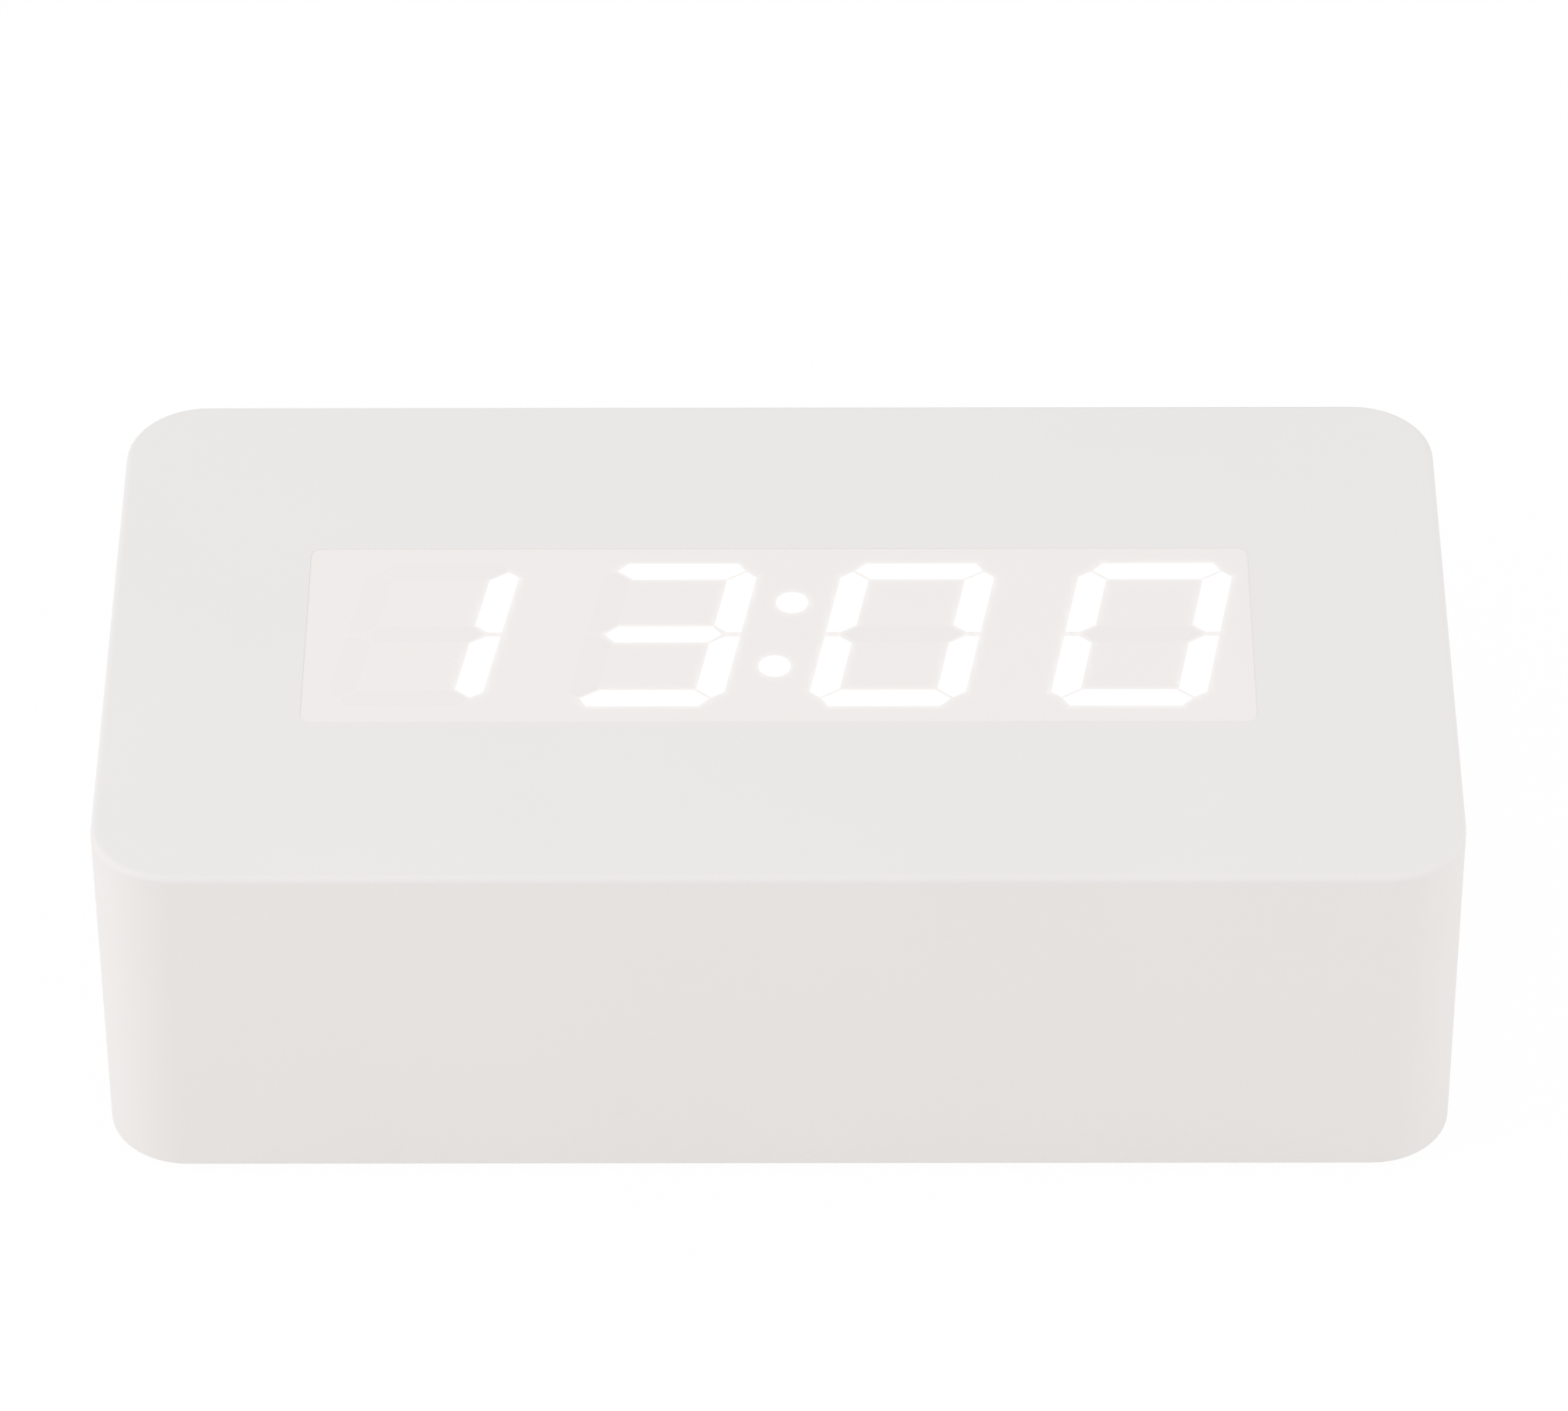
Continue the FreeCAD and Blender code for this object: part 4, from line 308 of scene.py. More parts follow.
def moulded_skin_group():
    """Spark-eroded plastic: fine grain, soft clouds in its tone and sheen."""
    group, given, result = new_skin(
        "moulded_skin", Colour=WHITE, Tone_Spread=0.02, Cloud_Scale=CLOUD_SCALE, Grain_Scale=4000.0,
        Roughness=0.45, Roughness_Spread=0.06,
    )
    place = put(group, "ShaderNodeTexCoord").outputs["Object"]
    cloud = noise(group, place, given["Cloud Scale"], 3.0)
    grain = noise(group, place, given["Grain Scale"], 2.0, 0.65)
    swing = math_node(group, "SUBTRACT", cloud, 0.5)
    tone = math_node(group, "MULTIPLY", swing, given["Tone Spread"])
    level = math_node(group, "ADD", tone, 1.0)
    join(group, tinted(group, given["Colour"], level), result["Colour"])
    rough = swung(group, cloud, grain, given["Roughness Spread"], given["Roughness"])
    join(group, rough, result["Roughness"])
    join(group, grain, result["Height"])
    return group


def drawn_metal_group():
    """Plated or rolled metal: fine lines along one direction, with smudges."""
    group, given, result = new_skin(
        "drawn_metal", Colour=WHITE, Line_Scale=900.0, Roughness=0.25, Roughness_Spread=0.15,
    )
    place = put(group, "ShaderNodeTexCoord").outputs["Object"]
    stretched = put(group, "ShaderNodeMapping", Vector=place, Scale=LINE_STRETCH)
    lines = noise(group, stretched.outputs[0], given["Line Scale"], 4.0, 0.7)
    smudge = noise(group, place, SMUDGE_SCALE)
    tone = ranged(group, smudge, NOISE_LOW, NOISE_HIGH, SMUDGE_TONE, 1.0)
    join(group, tinted(group, given["Colour"], tone), result["Colour"])
    rough = swung(group, lines, smudge, given["Roughness Spread"], given["Roughness"])
    join(group, rough, result["Roughness"])
    join(group, lines, result["Height"])
    return group


moulded_skin = moulded_skin_group()
drawn_metal = drawn_metal_group()


# Materials

def start_material(slot):
    """The slot's material, emptied, with a surface shader on its output."""
    material = bpy.data.materials.get(slot) or bpy.data.materials.new(slot)
    material.use_nodes = True
    tree = material.node_tree
    tree.nodes.clear()
    shader = put(tree, "ShaderNodeBsdfPrincipled")
    put(tree, "ShaderNodeOutputMaterial", Surface=shader.outputs[0])
    return tree, shader


def add_bump(tree, shader, height, depth):
    """Turns a height pattern into a bump that is depth metres deep."""
    bump = put(tree, "ShaderNodeBump", Height=height, Distance=depth)
    join(tree, bump.outputs[0], shader.inputs["Normal"])


def skinned(slot, skin, colour, roughness, depth):
    """A material whose tone, sheen and bump come from one of the two skins."""
    tree, shader = start_material(slot)
    worn = put(tree, "ShaderNodeGroup", {"node_tree": skin}, Colour=(*colour, 1.0), Roughness=roughness)
    join(tree, worn.outputs["Colour"], shader.inputs["Base Color"])
    join(tree, worn.outputs["Roughness"], shader.inputs["Roughness"])
    add_bump(tree, shader, worn.outputs["Height"], depth)
    return tree, shader, worn


def plastic(slot, colour, roughness, grain_mm=0.25, depth=0.004 * MM, tone=0.02, gloss=0.5):
    """Moulded plastic or rubber with a grain of grain_mm."""
    tree, shader, worn = skinned(slot, moulded_skin, colour, roughness, depth)
    worn.inputs["Tone Spread"].default_value = tone
    worn.inputs["Grain Scale"].default_value = 1.0 / (grain_mm * MM)
    shader.inputs["Specular IOR Level"].default_value = gloss
    return tree, shader


def metal(slot, colour, roughness):
    """Plated or rolled metal."""
    shader = skinned(slot, drawn_metal, colour, roughness, METAL_RELIEF)[1]
    shader.inputs["Metallic"].default_value = 1.0


def glass(slot, colour, roughness, coating_nm=0.0):
    """Clear moulded glass or acrylic with a faint smear in its polish, and a coating if it has one."""
    tree, shader = start_material(slot)
    place = put(tree, "ShaderNodeTexCoord").outputs["Object"]
    smudge = noise(tree, place, SMEAR_SCALE)
    sheen = ranged(tree, smudge, NOISE_LOW, NOISE_HIGH, roughness, roughness + GLASS_SMEAR)
    join(tree, sheen, shader.inputs["Roughness"])
    join(tree, blend_colours(tree, smudge, (*colour, 1.0), WHITE), shader.inputs["Base Color"])
    shader.inputs["Transmission Weight"].default_value = 1.0
    shader.inputs["IOR"].default_value = CLEAR_IOR
    shader.inputs["Thin Film Thickness"].default_value = coating_nm
    shader.inputs["Thin Film IOR"].default_value = COATING_IOR


def lit_plastic(slot):
    """Light guide of a lit segment: white light with faint clouds in it."""
    tree, shader = start_material(slot)
    place = put(tree, "ShaderNodeTexCoord").outputs["Object"]
    light = blend_colours(tree, noise(tree, place, GUIDE_CLOUD_SCALE), GUIDE_LIGHT, WHITE)
    join(tree, light, shader.inputs["Emission Color"])
    join(tree, light, shader.inputs["Base Color"])
    shader.inputs["Emission Strength"].default_value = GUIDE_GLOW
    shader.inputs["Roughness"].default_value = GUIDE_ROUGHNESS


def opal_plastic(slot, colour, roughness):
    """The display's opal face, lit from within round the segments by its own halo values."""
    tree, shader = plastic(slot, colour, roughness, grain_mm=0.3, depth=0.002 * MM, tone=0.01)
    glow = put(tree, "ShaderNodeAttribute", {"attribute_name": "halo"}).outputs["Fac"]
    join(tree, blend_colours(tree, glow, BLACK, HALO_LIGHT), shader.inputs["Emission Color"])
    shader.inputs["Emission Strength"].default_value = HALO_STRENGTH


def toned(colour, factors):
    """A colour with each of its parts made stronger or weaker."""
    return (*(part * factor for part, factor in zip(colour, factors)), 1.0)


def circuit_board(slot, colour):
    """Green mask over copper tracks."""
    tree, shader = start_material(slot)
    place = put(tree, "ShaderNodeTexCoord").outputs["Object"]
    tracks = put(
        tree, "ShaderNodeTexBrick", Vector=place, Scale=TRACK_SCALE, Mortar_Size=TRACK_GAP,
        Color1=(*colour, 1.0), Color2=toned(colour, TRACK_SHADE), Mortar=toned(colour, TRACK_GLEAM),
    )
    join(tree, tracks.outputs["Color"], shader.inputs["Base Color"])
    cloud = noise(tree, place, BOARD_CLOUD_SCALE)
    join(tree, ranged(tree, cloud, NOISE_LOW, NOISE_HIGH, *BOARD_SHEEN), shader.inputs["Roughness"])
    add_bump(tree, shader, tracks.outputs["Fac"], TRACK_HEIGHT)


def build_materials():
    """Every slot of the record."""
    plastic("case_white", (0.83, 0.812, 0.803), 0.6, gloss=0.3)
    plastic("cover_white", (0.81, 0.793, 0.784), 0.6, grain_mm=0.4, depth=0.01 * MM, gloss=0.3)
    plastic("foot_rubber", (0.42, 0.42, 0.415), 0.8, grain_mm=0.3, depth=0.02 * MM, tone=0.12, gloss=0.3)
    metal("screw_steel", (0.62, 0.62, 0.63), 0.28)
    opal_plastic("window_opal", (0.863, 0.836, 0.822), 0.45)
    lit_plastic("segment_lit")
    plastic("segment_dark", (0.851, 0.826, 0.813), 0.45, grain_mm=0.3, depth=0.002 * MM, tone=0.01)
    plastic("reflector_white", (0.85, 0.85, 0.84), 0.5)
    plastic("led_chip", (0.8, 0.72, 0.4), 0.3, grain_mm=0.5)
    circuit_board("board_green", (0.03, 0.18, 0.07))
    plastic("chip_black", (0.025, 0.025, 0.027), 0.5, grain_mm=0.2, depth=0.01 * MM, tone=0.2)
    metal("foil_copper", (0.85, 0.48, 0.28), 0.3)
    metal("can_metal", (0.75, 0.75, 0.74), 0.3)
    plastic("capacitor_sleeve", (0.02, 0.03, 0.07), 0.35, grain_mm=0.5)
    plastic("socket_cream", (0.7, 0.66, 0.55), 0.5)
    plastic("ribbon_grey", (0.45, 0.45, 0.47), 0.5)
    plastic("key_white", (0.80, 0.782, 0.773), 0.5, grain_mm=0.3, depth=0.003 * MM, gloss=0.4)
    plastic("plunger_black", (0.03, 0.03, 0.03), 0.45)
    plastic("slider_grey", (0.25, 0.25, 0.255), 0.45)
    metal("shell_steel", (0.72, 0.72, 0.72), 0.24)
    plastic("jack_black", (0.022, 0.022, 0.024), 0.42, grain_mm=0.3, depth=0.006 * MM, tone=0.2)
    metal("contact_metal", (0.82, 0.72, 0.45), 0.25)
    metal("cell_steel", (0.7, 0.7, 0.69), 0.3)
    metal("basket_steel", (0.45, 0.45, 0.45), 0.4)
    plastic("cone_paper", (0.06, 0.058, 0.055), 0.9, grain_mm=0.6, depth=0.05 * MM, tone=0.4, gloss=0.1)
    plastic("magnet_grey", (0.13, 0.13, 0.135), 0.6)
    plastic("wire_red", (0.55, 0.05, 0.04), 0.45)
    plastic("bay_white", (0.815, 0.797, 0.788), 0.6, grain_mm=0.35, depth=0.006 * MM, gloss=0.3)
    plastic("head_white", (0.825, 0.807, 0.798), 0.55, gloss=0.35)
    plastic("ring_grey", (0.30, 0.30, 0.305), 0.5, grain_mm=0.25, depth=0.008 * MM, tone=0.06)
    plastic("tube_black", (0.02, 0.02, 0.021), 0.55)
    glass("lens_glass", (0.93, 0.95, 0.97), 0.02, coating_nm=COATING_NM)
    metal("mirror_glass", (0.9, 0.9, 0.9), 0.04)
    glass("panel_glass", (0.4, 0.42, 0.4), 0.08)
    glass("lamp_clear", (0.95, 0.95, 0.9), 0.05)


# Pieces

SMOOTH_NODES = (
    "top_shell", "bottom_cover", "battery_door", "projector_bay", "hinge_pins",
    "projector_front_shell", "projector_back_shell", "focus_ring", "lens_tube",
    "projection_lens", "alarm_slider", "usb_shell", "usb_tongue", "jack_body", "jack_pin",
    "time_key", "alarm_key", "down_key", "up_key", "projector_key", "speaker_cone",
)


def add_object(name, data):
    """A new object in the scene."""
    made = bpy.data.objects.new(name, data)
    bpy.context.scene.collection.objects.link(made)
    return made


@contextmanager
def edited(mesh):
    """Opens a mesh to be worked on, and writes it back."""
    work = bmesh.new()
    work.from_mesh(mesh)
    yield work
    work.to_mesh(mesh)
    work.free()


def plain_mesh(maker, name):
    """The mesh that an object comes to, with its modifiers or as a curve. The object goes."""
    bpy.context.view_layer.update()
    seen = maker.evaluated_get(bpy.context.evaluated_depsgraph_get())
    mesh = bpy.data.meshes.new_from_object(seen)
    bpy.data.objects.remove(maker)
    mesh.name = name
    return mesh


def loose_mesh(source, name):
    """A fresh mesh with the same triangles as a CAD node, corners merged."""
    mesh = bpy.data.meshes.new(name)
    points = [vertex.co[:] for vertex in source.data.vertices]
    mesh.from_pydata(points, [], [face.vertices[:] for face in source.data.polygons])
    with edited(mesh) as work:
        bmesh.ops.remove_doubles(work, verts=work.verts, dist=MERGE_DISTANCE)
    return mesh


def soft_shading(obj):
    """Smooth shading over the curves, creased at edges, and flat over the flats."""
    obj.data.shade_smooth()
    obj.data.set_sharp_from_angle(angle=CREASE)
    weighted = obj.modifiers.new("flat_faces_stay_flat", "WEIGHTED_NORMAL")
    weighted.keep_sharp = True


def body_of_node(node):
    """The body that a CAD node rides on."""
    return frame["nodes"][node]["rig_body"]


def new_piece(mesh, name, body, slot):
    """A piece that adds to a body, with one of the record's finishes."""
    piece = add_object(name, mesh)
    mesh.materials.clear()
    mesh.materials.append(bpy.data.materials[slot])
    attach(piece, body)
    return piece


def stand_in(mesh, name, node):
    """A piece that takes a CAD node's place, body and finish."""
    piece = new_piece(mesh, name, body_of_node(node), slots[node])
    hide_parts(node)
    return piece


def smooth_piece(node):
    """A CAD node's own shape with its curved faces shaded smooth."""
    piece = stand_in(loose_mesh(frame["nodes"][node], node + "_skin"), node + "_skin", node)
    soft_shading(piece)
    return piece


def parted_leads():
    """The lamp's wires, with a gap where the head's pair turns against the case's."""
    end_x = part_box("lamp_leads")[0].x
    for node, way in (("lamp_leads", 1), ("projector_leads", -1)):
        for vertex in smooth_piece(node).data.vertices:
            if abs(vertex.co.x - end_x) < MERGE_DISTANCE:
                vertex.co.x += way * LEAD_GAP / 2


def sliced(mesh, low, high, step):
    """Cuts a mesh along even X and Y planes, so that its flat faces can bend or carry values."""
    with edited(mesh) as work:
        for axis in (0, 1):
            normal = Vector((0, 0, 0))
            normal[axis] = 1.0
            count = int((high[axis] - low[axis]) / step)
            for place in range(1, count + 1):
                point = low.copy()
                point[axis] += (high[axis] - low[axis]) * place / (count + 1)
                everything = work.verts[:] + work.edges[:] + work.faces[:]
                bmesh.ops.bisect_plane(work, geom=everything, plane_co=point, plane_no=normal)


def widen_land(mesh):
    """Widens the raised land of the display's face until it all but meets the opening about it."""
    with edited(mesh) as work:
        work.normal_update()
        top = max(vertex.co.z for vertex in work.verts)
        on_top = [vertex.co for vertex in work.verts if vertex.co.z > top - MERGE_DISTANCE]
        edge_x = max(point.x for point in on_top) - LAND_BAND
        edge_y = max(point.y for point in on_top) - LAND_BAND
        moves = {}
        for face in work.faces:
            middle = face.calc_center_median()
            at_rim = abs(middle.x) > edge_x or abs(middle.y) > edge_y
            upright = abs(face.normal.z) < WALL_LEAN
            if at_rim and upright and middle.z > top - LAND_DEPTH:
                for vertex in face.verts:
                    moves[vertex] = moves.get(vertex, Vector((0, 0, 0))) + face.normal
        for vertex, way in moves.items():
            vertex.co += way.normalized() * LAND_REACH


def opal_face():
    """The display's face, with a halo value at each point that fades away from the lit segments."""
    mesh = loose_mesh(frame["nodes"]["display_window"], "opal_face")
    widen_land(mesh)
    low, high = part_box("display_window")
    sliced(mesh, low, high, SLICE_STEP)
    lit = frame["nodes"]["lit_segments"]
    tree = BVHTree.FromPolygons(
        [vertex.co for vertex in lit.data.vertices], [face.vertices[:] for face in lit.data.polygons]
    )
    halo = mesh.attributes.new("halo", "FLOAT", "POINT")
    for vertex, value in zip(mesh.vertices, halo.data):
        gap = tree.find_nearest(vertex.co)[3]
        value.value = math.exp(-gap / HALO_REACH)
    soft_shading(stand_in(mesh, "opal_face", "display_window"))


# Forms that repeat or follow a rule

def new_tree(name, *sizes):
    """An empty Geometry Nodes tree: a drawing and named sizes come in, a finished form goes out."""
    tree = bpy.data.node_groups.new(name, "GeometryNodeTree")
    tree.interface.new_socket("Drawing", in_out="INPUT", socket_type="NodeSocketGeometry")
    for label in sizes:
        tree.interface.new_socket(label, in_out="INPUT", socket_type="NodeSocketFloat")
    tree.interface.new_socket("Finish", in_out="INPUT", socket_type="NodeSocketMaterial")
    tree.interface.new_socket("Form", in_out="OUTPUT", socket_type="NodeSocketGeometry")
    return tree, tree.nodes.new("NodeGroupInput").outputs


def end_tree(tree, given, form):
    """Makes the copies real, gives them the finish and sends them out."""
    real = put(tree, "GeometryNodeRealizeInstances", Geometry=form)
    coated = put(tree, "GeometryNodeSetMaterial", Geometry=real.outputs[0], Material=given["Finish"])
    tree.links.new(coated.outputs[0], tree.nodes.new("NodeGroupOutput").inputs["Form"])
    return tree


def vector(tree, x=0.0, y=0.0, z=0.0):
    """Three values as one vector."""
    return put(tree, "ShaderNodeCombineXYZ", X=x, Y=y, Z=z).outputs[0]


def turned(tree, drawing):
    """A line drawn as radius and depth, turned about Z."""
    line = put(tree, "GeometryNodeMeshToCurve", Mesh=drawing)
    circle = put(tree, "GeometryNodeCurvePrimitiveCircle", Resolution=TURN_SIDES, Radius=AXIS_GAP)
    swept = put(tree, "GeometryNodeCurveToMesh", Curve=circle.outputs["Curve"])
    tree.links.new(line.outputs[0], swept.inputs["Profile Curve"])
    closed = put(tree, "GeometryNodeMergeByDistance", Geometry=swept.outputs[0], Distance=3 * AXIS_GAP)
    return closed.outputs[0]


def at_corners(tree, form, half_width, half_depth):
    """A copy of a form at each corner of a rectangle about the origin."""
    wide = math_node(tree, "MULTIPLY", half_width, 2.0)
    deep = math_node(tree, "MULTIPLY", half_depth, 2.0)
    grid = put(tree, "GeometryNodeMeshGrid", Size_X=wide, Size_Y=deep, Vertices_X=2, Vertices_Y=2)
    corners = grid.outputs["Mesh"]
    return put(tree, "GeometryNodeInstanceOnPoints", Points=corners, Instance=form).outputs[0]


def feet_tree():
    """Turned pads at four corners."""
    tree, given = new_tree("pads_at_corners", "Half Width", "Half Depth")
    pad = turned(tree, given["Drawing"])
    return end_tree(tree, given, at_corners(tree, pad, given["Half Width"], given["Half Depth"]))


def screws_tree():
    """Turned screws at four corners, with a cross recess in the head and a thread on the shank."""
    tree, given = new_tree(
        "cross_headed_screws", "Half Width", "Half Depth", "Head End", "Recess Reach", "Recess Depth",
        "Thread Radius", "Thread Depth", "Thread Turns", "Thread Start", "Thread Length",
    )
    floor_reach = math_node(tree, "MULTIPLY", given["Recess Reach"], RECESS_NARROWING)
    cutter_depth = math_node(tree, "MULTIPLY", given["Recess Depth"], 2.0)
    cutter_start = math_node(tree, "SUBTRACT", given["Head End"], given["Recess Depth"])
    cone = put(
        tree, "GeometryNodeMeshCone", Vertices=4, Radius_Bottom=given["Recess Reach"],
        Radius_Top=floor_reach, Depth=cutter_depth,
    )
    squared = (0.0, 0.0, math.pi / 4)
    blade = put(tree, "GeometryNodeTransform", Geometry=cone.outputs["Mesh"], Rotation=squared)
    cut = put(tree, "GeometryNodeMeshBoolean", {"operation": "DIFFERENCE", "solver": "EXACT"})
    tree.links.new(turned(tree, given["Drawing"]), cut.inputs["Mesh 1"])
    for turn in (0.0, math.pi / 2):
        arm = put(
            tree, "GeometryNodeTransform", Geometry=blade.outputs[0],
            Scale=(1.0, RECESS_BREADTH, 1.0), Translation=vector(tree, z=cutter_start),
        )
        across = (0.0, 0.0, turn)
        crossed = put(tree, "GeometryNodeTransform", Geometry=arm.outputs[0], Rotation=across)
        tree.links.new(crossed.outputs[0], cut.inputs["Mesh 2"])
    helix = put(
        tree, "GeometryNodeCurveSpiral", Resolution=THREAD_STEPS, Rotations=given["Thread Turns"],
        Start_Radius=given["Thread Radius"], End_Radius=given["Thread Radius"],
        Height=given["Thread Length"],
    )
    ridge = put(
        tree, "GeometryNodeCurvePrimitiveCircle", Resolution=3, Radius=given["Thread Depth"]
    )
    thread = put(tree, "GeometryNodeCurveToMesh", Curve=helix.outputs[0], Fill_Caps=True)
    tree.links.new(ridge.outputs["Curve"], thread.inputs["Profile Curve"])
    raised = put(
        tree, "GeometryNodeTransform", Geometry=thread.outputs[0],
        Translation=vector(tree, z=given["Thread Start"]),
    )
    whole = put(tree, "GeometryNodeJoinGeometry")
    tree.links.new(cut.outputs["Mesh"], whole.inputs[0])
    tree.links.new(raised.outputs[0], whole.inputs[0])
    placed = at_corners(tree, whole.outputs[0], given["Half Width"], given["Half Depth"])
    return end_tree(tree, given, placed)


def contacts_tree():
    """A bowed strip at each point of the drawing."""
    tree, given = new_tree("bowed_strips", "Length", "Width", "Thickness", "Bow")
    half = math_node(tree, "MULTIPLY", given["Length"], 0.5)
    back = math_node(tree, "MULTIPLY", half, -1.0)
    drop = math_node(tree, "MULTIPLY", given["Bow"], -2.0)
    line = put(
        tree, "GeometryNodeCurveQuadraticBezier", Resolution=CONTACT_STEPS,
        Start=vector(tree, y=back), Middle=vector(tree, z=drop), End=vector(tree, y=half),
    )
    section = put(tree, "GeometryNodeCurvePrimitiveQuadrilateral", Width=given["Width"])
    join(tree, given["Thickness"], section.inputs["Height"])
    strip = put(tree, "GeometryNodeCurveToMesh", Curve=line.outputs[0], Fill_Caps=True)
    tree.links.new(section.outputs[0], strip.inputs["Profile Curve"])
    copies = put(
        tree, "GeometryNodeInstanceOnPoints", Points=given["Drawing"], Instance=strip.outputs[0]
    )
    return end_tree(tree, given, copies.outputs[0])


def ticks_tree():
    """Short rounded marks along an arc, each pointing away from its middle."""
    tree, given = new_tree("ticks_on_an_arc", "Radius", "Start", "Sweep", "Length", "Width", "Thickness")
    arc = put(
        tree, "GeometryNodeCurveArc", {"mode": "RADIUS"}, Resolution=FOCUS_TICKS, Radius=given["Radius"],
        Start_Angle=given["Start"], Sweep_Angle=given["Sweep"],
    )
    outline = put(
        tree, "GeometryNodeCurvePrimitiveQuadrilateral", Width=given["Length"], Height=given["Width"]
    )
    corner = math_node(tree, "MULTIPLY", given["Width"], TICK_ROUND_SHARE)
    softened = put(
        tree, "GeometryNodeFilletCurve", {"mode": "POLY"}, Curve=outline.outputs[0], Radius=corner,
        Count=TICK_ROUND_STEPS,
    )
    flat = put(tree, "GeometryNodeFillCurve", {"mode": "NGONS"}, Curve=softened.outputs[0])
    block = put(
        tree, "GeometryNodeExtrudeMesh", Mesh=flat.outputs[0], Offset_Scale=given["Thickness"],
        Individual=False,
    )
    underside = put(tree, "GeometryNodeFlipFaces", Mesh=flat.outputs[0])
    both = put(tree, "GeometryNodeJoinGeometry")
    tree.links.new(block.outputs["Mesh"], both.inputs[0])
    tree.links.new(underside.outputs[0], both.inputs[0])
    closed = put(tree, "GeometryNodeMergeByDistance", Geometry=both.outputs[0], Distance=MERGE_DISTANCE)
    place = put(tree, "GeometryNodeInputPosition").outputs[0]
    parts = put(tree, "ShaderNodeSeparateXYZ", Vector=place)
    heading = math_node(tree, "ARCTAN2", parts.outputs["Y"], parts.outputs["X"])
    turn = put(tree, "FunctionNodeEulerToRotation", Euler=vector(tree, z=heading))
    copies = put(
        tree, "GeometryNodeInstanceOnPoints", Points=arc.outputs["Curve"], Instance=closed.outputs[0],
        Rotation=turn.outputs[0],
    )
    return end_tree(tree, given, copies.outputs[0])


def grown(tree, name, points, slot, **sizes):
    """Runs a tree on a drawing, a line through points, and returns the plain mesh that comes out."""
    drawing = bpy.data.meshes.new(name + "_drawing")
    drawing.from_pydata(points, [(step, step + 1) for step in range(len(points) - 1)], [])
    maker = add_object(name + "_maker", drawing)
    modifier = maker.modifiers.new(tree.name, "NODES")
    modifier.node_group = tree
    sockets = {item.name: item.identifier for item in tree.interface.items_tree if item.in_out == "INPUT"}
    for label, value in sizes.items():
        modifier[sockets[label.replace("_", " ")]] = value
    modifier[sockets["Finish"]] = bpy.data.materials[slot]
    return plain_mesh(maker, name)


def turning_line(line):
    """A turned piece's line, from its radii and heights, as the trees read it."""
    return [(radius, -height, 0.0) for radius, height in line]


def padded_feet():
    """Rubber feet: turned pads with a flat rim and shallow rings inside it."""
    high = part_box("rubber_feet")[1]
    rim = FOOT_RADIUS - FOOT_BREAK
    line = [(0.0, high.z), (FOOT_RADIUS, high.z), (FOOT_RADIUS, FOOT_BREAK), (rim, FOOT_CLEARANCE)]
    steps = FOOT_RING_STEPS * FOOT_RINGS
    for step in range(steps + 1):
        swing = 0.5 - 0.5 * math.cos(math.tau * FOOT_RINGS * step / steps)
        radius = (rim - FOOT_LAND) * (1 - step / steps)
        line.append((radius, FOOT_CLEARANCE + FOOT_RING_DEPTH * swing))
    mesh = grown(
        feet_tree(), "ringed_feet", turning_line(line), "foot_rubber",
        Half_Width=high.x - FOOT_RADIUS, Half_Depth=high.y - FOOT_RADIUS,
    )
    soft_shading(stand_in(mesh, "ringed_feet", "rubber_feet"))


def threaded_screws():
    """The case screws: domed heads with a cross recess, and a thread along each shank."""
    low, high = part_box("case_screws")
    seat = low.z + SCREW_HEAD_HEIGHT
    shoulder = low.z + SCREW_DOME
    line = [(0.0, high.z), (SCREW_CORE_RADIUS, high.z - SCREW_TIP), (SCREW_CORE_RADIUS, seat)]
    line += [(SCREW_HEAD_RADIUS, seat), (SCREW_HEAD_RADIUS, shoulder)]
    for step in range(1, SCREW_DOME_STEPS + 1):
        angle = math.pi / 2 * step / SCREW_DOME_STEPS
        line.append((SCREW_HEAD_RADIUS * math.cos(angle), shoulder - SCREW_DOME * math.sin(angle)))
    length = high.z - SCREW_TIP - seat - 2 * SCREW_PITCH
    mesh = grown(
        screws_tree(), "threaded_screws", turning_line(line), "screw_steel",
        Half_Width=high.x - SCREW_HEAD_RADIUS, Half_Depth=high.y - SCREW_HEAD_RADIUS, Head_End=low.z,
        Recess_Reach=RECESS_REACH, Recess_Depth=RECESS_DEPTH, Thread_Radius=SCREW_CORE_RADIUS,
        Thread_Depth=SCREW_THREAD_DEPTH, Thread_Turns=length / SCREW_PITCH,
        Thread_Start=seat + SCREW_PITCH, Thread_Length=length,
    )
    soft_shading(stand_in(mesh, "threaded_screws", "case_screws"))


def socket_contacts():
    """Four sprung contacts that lie in the grooves of the charging socket's tongue."""
    low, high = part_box("usb_tongue")
    middle = (low + high) / 2
    length = CONTACT_BACK - CONTACT_FRONT
    y = high.y - (CONTACT_BACK + CONTACT_FRONT) / 2
    z = middle.z + CONTACT_ROOF - CONTACT_THICKNESS / 2
    drawing = [(middle.x + x, y, z) for x in CONTACT_XS]
    mesh = grown(
        contacts_tree(), "socket_contacts", drawing, "contact_metal", Length=length, Width=CONTACT_WIDTH,
        Thickness=CONTACT_THICKNESS, Bow=CONTACT_BOW,
    )
    soft_shading(new_piece(mesh, "socket_contacts", body_of_node("usb_tongue"), "contact_metal"))


# Print and raised marks

def rear_place(x, y, z):
    """Carries a drawing onto a face that looks to the rear: its right is -X, its top is +Z."""
    turn = Matrix(((-1, 0, 0, 0), (0, 0, 1, 0), (0, 1, 0, 0), (0, 0, 0, 1)))
    return Matrix.Translation((x, y, z)) @ turn


def under_place(x, y, z):
    """Carries a drawing onto a face that looks down: its right is +X, its top is -Y."""
    return Matrix.Translation((x, y, z)) @ Matrix.Diagonal((1, -1, -1, 1))


